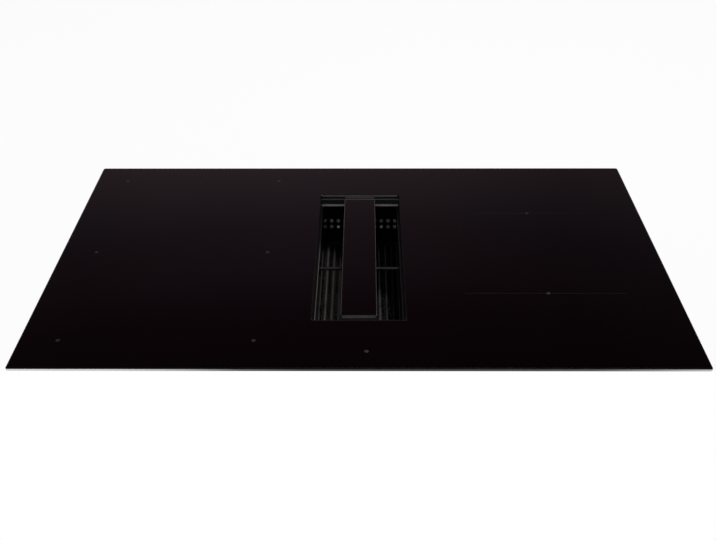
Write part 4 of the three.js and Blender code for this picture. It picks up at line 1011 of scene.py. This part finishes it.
# %% Outlet duct
spread = np.linspace(0, 1, 9)
left_side = 266.5 - 121 * (0.5 * spread + 0.5 * (3 * spread ** 2 - 2 * spread ** 3))
flare = list(zip(85.3 + 54.7 * spread, left_side))
outer, bore = (367.5, 1.5, 90.5, 4), (365.5, 3.5, 88.5, 2)                # right side, low, high and corner
neck, bead = (269.3, 364.7, 2.8, 89.2, 3), (144.4, 368.6, 0.4, 91.6, 5)
rows = [(71, *neck), (84.6, *neck)] + [(y, x, *outer) for y, x in flare]
rows += [(203, 145.5, *outer), (203.6, *bead), (206.4, *bead), (207, 145.5, *outer), (239.3, 145.5, *outer),
         (240, 146.2, 366.8, 2.2, 89.8, 3.4), (240, 146.8, 366.2, 2.8, 89.2, 2.6), (239.3, 147.5, *bore)]
rows += [(y, x + 2, *bore) for y, x in flare[:0:-1]] + [(y, 271.3, 362.7, 4.8, 87.2, 2) for y in (87.3, 71)]
ribs = [block_at(x, 173, 0.8, 27, 89.8, 92.4) for x in range(166, 360, 28)]
ribs += [block_at(x, 147.8, 1.7, 2.8, 3.6, 72, 0.6) for x in (148.9, 364.1)]
piece("moulded_outlet_duct", [sleeve(rows, wrap=True)] + ribs, black_plastic, "outlet_duct", smooth=40)

# %% Non-return flap
flap = [block_at(256.5, 152, 107, 0.75, 5.5, 81.5, 0.5, 3), tube(points([145.8, 256, 367.2], 152, 82.5), 2, 16)]
flap += [block_at(x, 153.05, 0.7, 0.85, 9, 80, 0.4) for x in range(172, 350, 28)]
flap += [block_at(256.5, 152.9, 104.5, 0.7, z - 0.7, z + 0.7, 0.4) for z in (20, 44, 68)]
piece("ribbed_flap", flap, grey_plastic, "nonreturn_flap", "nonreturn_flap", 40)

# %% [markdown]
# ## Mains box and drip tray
#
# The terminal box is moulded with a lid held by four screws, and its gland is a hexagon with a domed
# nut. The drip tray is a plain moulding with a rolled rim and a grip across its middle.

# %% Mains box
gland = (0, 190, 134.4)
terminal = piece("terminal_box_moulding", [block_at(-300, 190, 45, 33, 119.4, 149.4, 1.6, 4)], black_plastic,
                 "terminal_box")
cut_out(terminal, [block_at(-300, 190, 43, 31, 118, 147.4, 0.6, 2.5),
                   turned([(8.3, -347), (8.3, -342)], gland, 32, "X")])
piece("terminal_lid", [block_at(-300, 190, 45, 33, 117.1, 119.1, 0.7, 4)], black_plastic, "terminal_cover")
screws = [screw_head(x, y, 117.3, "Z", -1, 2.6) for x in (-339, -261) for y in (163, 217)]
piece("terminal_screws", screws, zinc_screw)
nut = [(10.2, -354.4), (11, -353.8), (11, -346), (10.2, -345.3)]
dome = [(5.2, -352), (5.2, -363), (7.4, -363.2), (9, -362.2), (9.8, -359.8), (9.8, -354.6), (8.8, -354.4),
        (7.9, -350), (7.9, -339.1)]
piece("gland_body", [turned(nut, gland, 6, "X"), turned(dome, gland, 40, "X")], grey_plastic, "cable_gland",
      smooth=30)

# %% Drip tray
low, high = mm_box("drip_tray")
(w, d, _), base, top = high - low, low[2], high[2]
rows = [(w - 7, 5, base), (w - 4, 6, base + 0.5), (w - 2.4, 6.6, base + 2), (w - 2, 7, base + 4.5),
        (w - 1.2, 7, top - 2.6), (w - 0.2, 7.4, top - 2.2), (w, 7.5, top - 1.2), (w - 0.4, 7.3, top - 0.4),
        (w - 1.4, 7, top), (w - 2.6, 6.4, top - 0.3), (w - 3.2, 6, top - 1.2), (w - 4.4, 5.8, base + 5),
        (w - 5.2, 5, base + 2.6), (w - 8, 4, base + 1.4)]
grip = tube(points(np.linspace(-w / 2 + 0.8, w / 2 - 0.8, 13), y_mid, top - 2), 3.9, 16, squeeze=0.48)
tray = loops(offsets(rows, d - w, 0, y_mid))
piece("drip_tray_moulding", [tray, grip], grey_plastic, "drip_tray", "drip_tray", 40)

# %% [markdown]
# ## Inside the blower
#
# The wheel is a moulded cup with forward-curved blades between a back plate and a ring. A blade's plan
# is a thin arc: its lean grows with a power of the distance from its root. The motor is an outer-rotor
# type: a deep-drawn can turns round a stator whose poles carry copper windings.

# %% Blower wheel
cup = [(48.5, 22), (46.6, 23.2), (46.3, 26), (46.3, 48.6), (45.6, 49.8), (44.2, 50.3), (5.3, 50.3), (5.3, 48.3),
       (43.6, 48.3), (44.3, 47.4), (44.3, 20), (94.6, 20), (95, 20.5), (95, 21.5), (94.6, 22)]
shroud = [(90, 76.4), (90.4, 76), (95.4, 76), (96, 76.6), (96, 78.4), (95.4, 79), (90.4, 79), (90, 78.6)]
s = np.linspace(0, 1, 9)
front = np.stack([78 + 16 * s, 9.5 * s ** 1.6], -1)
back = front + np.stack([-0.5 * s, 1.3 - 0.2 * s], -1)
blade = pushed(np.concatenate([front, back[::-1]]), 21.6, 76.5, axis="Z")
wheel = [turned(ring, hub, 72, wrap=True) for ring in (cup, shroud)] + around(blade, 24, hub_x, hub_y)
piece("curved_blade_wheel", wheel, black_plastic, "impeller", "blower_wheel")

# %% Motor
can = [(41.8, 8.8), (43.6, 8.8), (44, 9.3), (44, 46.4), (43.5, 47.6), (42.3, 48), (5.3, 48), (5.3, 45.8),
       (41.2, 45.8), (41.8, 45.2)]
piece("drawn_rotor_can", [turned(can, hub, 64, wrap=True)], dark_steel, "rotor_can", "blower_wheel")
shaft = [(4.3, 3.8), (5, 4.5), (5, 54), (4.6, 54.2), (4.6, 55.2), (5, 55.4), (5, 57.3), (4.3, 58)]
piece("ground_shaft", [turned(shaft, hub, 32)], bearing_steel, "motor_shaft", "blower_wheel")
races = [(5.3, 0.3), (5.6, 0), (7.2, 0), (7.4, 0.5), (9, 0.5), (9.2, 0), (10.7, 0), (11, 0.3)]
for name, z in (("lower", 3.8), ("upper", 35.8)):
    section = [(r, z + h) for r, h in races] + [(r, z + 7 - h) for r, h in races[::-1]]
    piece(f"ball_bearing_{name}", [turned(section, hub, 40, wrap=True)], bearing_steel, f"motor_bearing_{name}")
core = [(11.3, 7), (19, 7), (19.6, 7.6), (19.6, 43), (19, 43.8), (11.3, 43.8)]
foot = [(11.3, 2.8), (45.4, 2.8), (46, 3.3), (46, 6.2), (45.4, 6.8), (11.3, 6.8)]
poles, layers = 12, 8
one_turn = np.tile(rounded(10.4, 25.5, 3.2), (layers, 1)) + (0, 26.5)
winding = tube(points(np.linspace(20.4, 31.8, len(one_turn)), *one_turn.T), 0.82, 6)
piece("wound_stator", around(winding, poles, hub_x, hub_y), copper, "motor_stator", smooth=60)
tooth = soft_block((18.5, -4.2, 15), (33.5, 4.2, 38), 0.8)
tip = soft_block((33, -8.4, 16), (38.8, 8.4, 37), 0.6)
steel = [turned(core, hub, 48, wrap=True), turned(foot, hub, 64, wrap=True)]
piece("stator_core", steel + around(tooth, poles, hub_x, hub_y) + around(tip, poles, hub_x, hub_y), dark_steel)

# %% Inlet ring and its gasket
bell = [(73, 82.4), (73.6, 82), (75.3, 82), (75.7, 82.5), (75.7, 101.2), (76.2, 101.7), (84.2, 101.7),
        (84.7, 102.2), (84.7, 103.2), (84.2, 103.7), (77.5, 103.7), (75.2, 102.9), (73.7, 101.2), (73, 98.6)]
piece("bell_mouth", [turned(bell, hub, 72, wrap=True)], grey_plastic, "inlet_ring")
seal = circle(full_turn(16)) * (6, 3.4) + (82.7, 95.7)
piece("scroll_seal", [turned(seal, hub, 72, wrap=True)], foam, "plenum_gasket")

# %% [markdown]
# ## Under the glass
#
# Each coil is one litz cable wound flat, so it is one tube on a spiral: the outline's inset grows by a
# cable's width with every turn. The trays and the bracket are bent sheet, pushed along their length.
# The fans have twisted blades, made of thin ellipses whose tilt falls from the hub to the tip.

# %% Coils
def wound(x, y, width, depth, corner, turns):
    """Flat spiral of a 4.7 mm cable: the inset from the outline grows by 4.9 mm a turn."""
    per_turn = 48
    inset = 2.4 + 4.9 * np.arange(turns * per_turn).reshape(turns, per_turn) / per_turn
    flat = [rounded(width - 2 * i, depth - 2 * i, np.maximum(corner * (1 - i / (width / 2)), 6), x, y, steps=12)
            for i in inset]
    return tube(points(*np.concatenate(flat).T, 202.1), 2.35, 8)


sensor = [(5.4, 196.3), (6, 196.9), (6, 199.6), (5.2, 200.2), (5.2, 203.2), (6, 203.9), (6, 205.2),
          (5.5, 205.7)]
carrier = ((0.4, 196.3), (0, 196.7), (0, 198.9), (0.4, 199.3))            # inset and height
coils = (("rear_left", -248.15, 107.5, 234, 199, 65, 16), ("front_left", -248.15, -102.5, 234, 199, 65, 16),
         ("rear_right", 248.15, 111, 174, 174, 87, 14), ("front_right", 248.15, -102, 204, 204, 102, 17))
for name, x, y, width, depth, corner, turns in coils:
    piece(f"litz_coil_{name}", [wound(x, y, width, depth, corner, turns)], copper, f"coil_{name}", smooth=60)
    plate = [(width + 6 - 2 * i, corner + 3 - i, z) for i, z in carrier]
    bore = [(15, 7.5, z) for z in (199.3, 196.3)]
    disc = loops(offsets(plate, depth - width, x, y) + offsets(bore, 0, x, y), wrap=True, steps=16)
    piece(f"coil_carrier_disc_{name}", [disc], grey_plastic, f"coil_carrier_{name}")
    piece(f"sensor_button_{name}", [turned(sensor, (x, y, 0), 24)], ceramic, f"pan_sensor_{name}")


# %% Bent sheets
def bent_channel(x0, x1, foot_z, top_z, sheet, y0, y1, bend=2.5):
    """Sheet bent down at both sides: quarter-circle bends, the inner one smaller by the sheet."""
    arc, z = quarter(5), top_z - bend
    left, right = x0 + bend, x1 - bend
    small = bend - sheet
    outer = [*circle(arc, bend, right, z), *circle(arc + np.pi / 2, bend, left, z)]
    inner = [*circle(arc, small, right, z), *circle(arc + np.pi / 2, small, left, z)]
    section = [(x1, foot_z), *outer, (x0, foot_z), (x0 + sheet, foot_z), *inner[::-1], (x1 - sheet, foot_z)]
    return pushed(section, y0, y1)


for side, x0, x1 in (("left", -374, -122.3), ("right", 122.3, 374)):
    tray = bent_channel(x0, x1, 151, 196, 1.5, -225, 228)
    piece(f"bent_coil_tray_{side}", [tray], aluminium, f"{side}_coil_tray")
bracket = bent_channel(-110, 110, 151, 203.8, 2, -229, -189)
piece("bent_touch_bracket", [bracket], grey_plastic, "touch_board_bracket")

# %% Heat sinks
fins = 9
for side, x in (("left", -250), ("right", 250)):
    comb = [(x - 30, 159.3), (x - 29.6, 158.9), (x + 29.6, 158.9), (x + 30, 159.3)]
    for k in range(fins):
        fin = x + 29.2 - k * 7.3
        comb += [(fin + 0.8, 165), (fin + 0.55, 186.4), (fin + 0.2, 186.9)]
        comb += [(fin - 0.2, 186.9), (fin - 0.55, 186.4), (fin - 0.8, 165)]
        comb += [(fin - 1.2, 164.2), (fin - 6.1, 164.2)] if k < fins - 1 else []
    piece(f"extruded_heat_sink_{side}", [pushed(comb, -120, 50)], aluminium, f"heat_sink_{side}", smooth=30)

# %% Boards and what stands on them
board_thick = 1.6
boards = (("left", "power_board_left", -250, -35, 100, 95, 157),
          ("right", "power_board_right", 250, -35, 100, 95, 157),
          ("rear", "filter_board", 0, 209, 110, 20, 157), ("touch", "touch_board", 0, -209, 110, 20, 204.1))
for name, node, *place, z in boards:
    piece(f"routed_board_{name}", [block_at(*place, z, z + board_thick, 0.12, 4)], board, node)
can = [(9, 158.7), (10, 159.4), (10, 161), (9.6, 161.6), (10, 162.2), (10, 186), (9.2, 187), (3, 186.6)]
cans, blocks, chokes = [], [], []
for s in (-1, 1):
    cans += [turned(can, (s * 315, y, 0), 28) for y in (-110, -84, -58)]
    blocks += [block_at(s * 315, y, 9, 14, 158.7, 176, 1.2) for y in (-20, 16)]
    blocks += [block_at(s * 185, y, 8, 8, 158.7, 172, 0.8) for y in (-100, -74, 30)]
    chokes += [tube(points(*circle(full_turn(40), 10, s * 185, y).T, 163.6), 4.6, 12, wrap=True)
               for y in (-40, -6)]
piece("board_capacitors", cans, black_plastic)
piece("board_relays", blocks, ceramic)
piece("board_chokes", chokes, copper)

# %% Cooling fans
sections, root, reach = [], 13.2, 22.9
for part in np.linspace(0, 1, 6):
    tilt, chord = math.radians(50 - 16 * part), 20 + 3 * part
    along, across = (circle(full_turn(12)) * (chord / 2, 0.75)).T
    sections.append(points(root + reach * part, along * math.cos(tilt) - across * math.sin(tilt),
                           164 + along * math.sin(tilt) + across * math.cos(tilt)))
fan_blade = closed_grid(np.array(sections))
fan_hub = [(13, 154.2), (14, 154.8), (14, 171.5), (13.2, 173.2), (11.5, 174), (3, 174), (2.6, 173.4),
           (0.05, 173.4)]
square = [(79, 4.6, 151), (80, 5, 151.5), (80, 5, 175.5), (79, 4.6, 176),
          (75, 37.5, 176), (74, 37, 175.4), (74, 37, 151.6), (75, 37.5, 151)]
seat = [(13.4, 151), (14, 151.5), (14, 153), (13.4, 153.6)]
swing, bolt = 0.5 * np.linspace(0, 1, 9), 35.8
for side, x in (("left", -fan_x), ("right", fan_x)):
    here = (x, fan_y, 0)
    wheel = [turned(fan_hub, here, 40)] + around(fan_blade, 7, x, fan_y)
    piece(f"fan_wheel_{side}", wheel, black_plastic, f"cooling_fan_rotor_{side}", f"cooling_fan_{side}", 50)
    shell = loops(offsets(square, 0, x, fan_y), wrap=True, steps=14)
    fan_frame = piece(f"fan_frame_{side}", [shell], black_plastic, f"cooling_fan_frame_{side}", smooth=50)
    cut_out(fan_frame, [turned([(2.15, 150), (2.15, 177)], (x + sx * bolt, fan_y + sy * bolt, 0), 20)
                        for sx in (-1, 1) for sy in (-1, 1)])
    swings = [circle(start + swing, np.linspace(12, 38, 9), x, fan_y) for start in full_turn(4)]
    arms = [tube(points(*path.T, 152.4), 1.6, 8, squeeze=0.75) for path in swings]
    piece(f"fan_arms_{side}", arms + [turned(seat, here, 36)], black_plastic)

# %% Terminal block
pole_x = [-325 + 10 * k for k in range(6)]
poles = [block_at(x, 190, 4.5, 11, 133.1, 147.1, 1) for x in pole_x]
web = block_at(-300, 190, 29, 8.5, 134, 144.5, 0.6)
piece("six_pole_block", poles + [web], ceramic, "terminal_block")
screws = [screw_head(x, y, 133.4, "Z", -1, 1.9) for x in pole_x for y in (183.5, 196.5)]
piece("pole_screws", screws, zinc_screw)
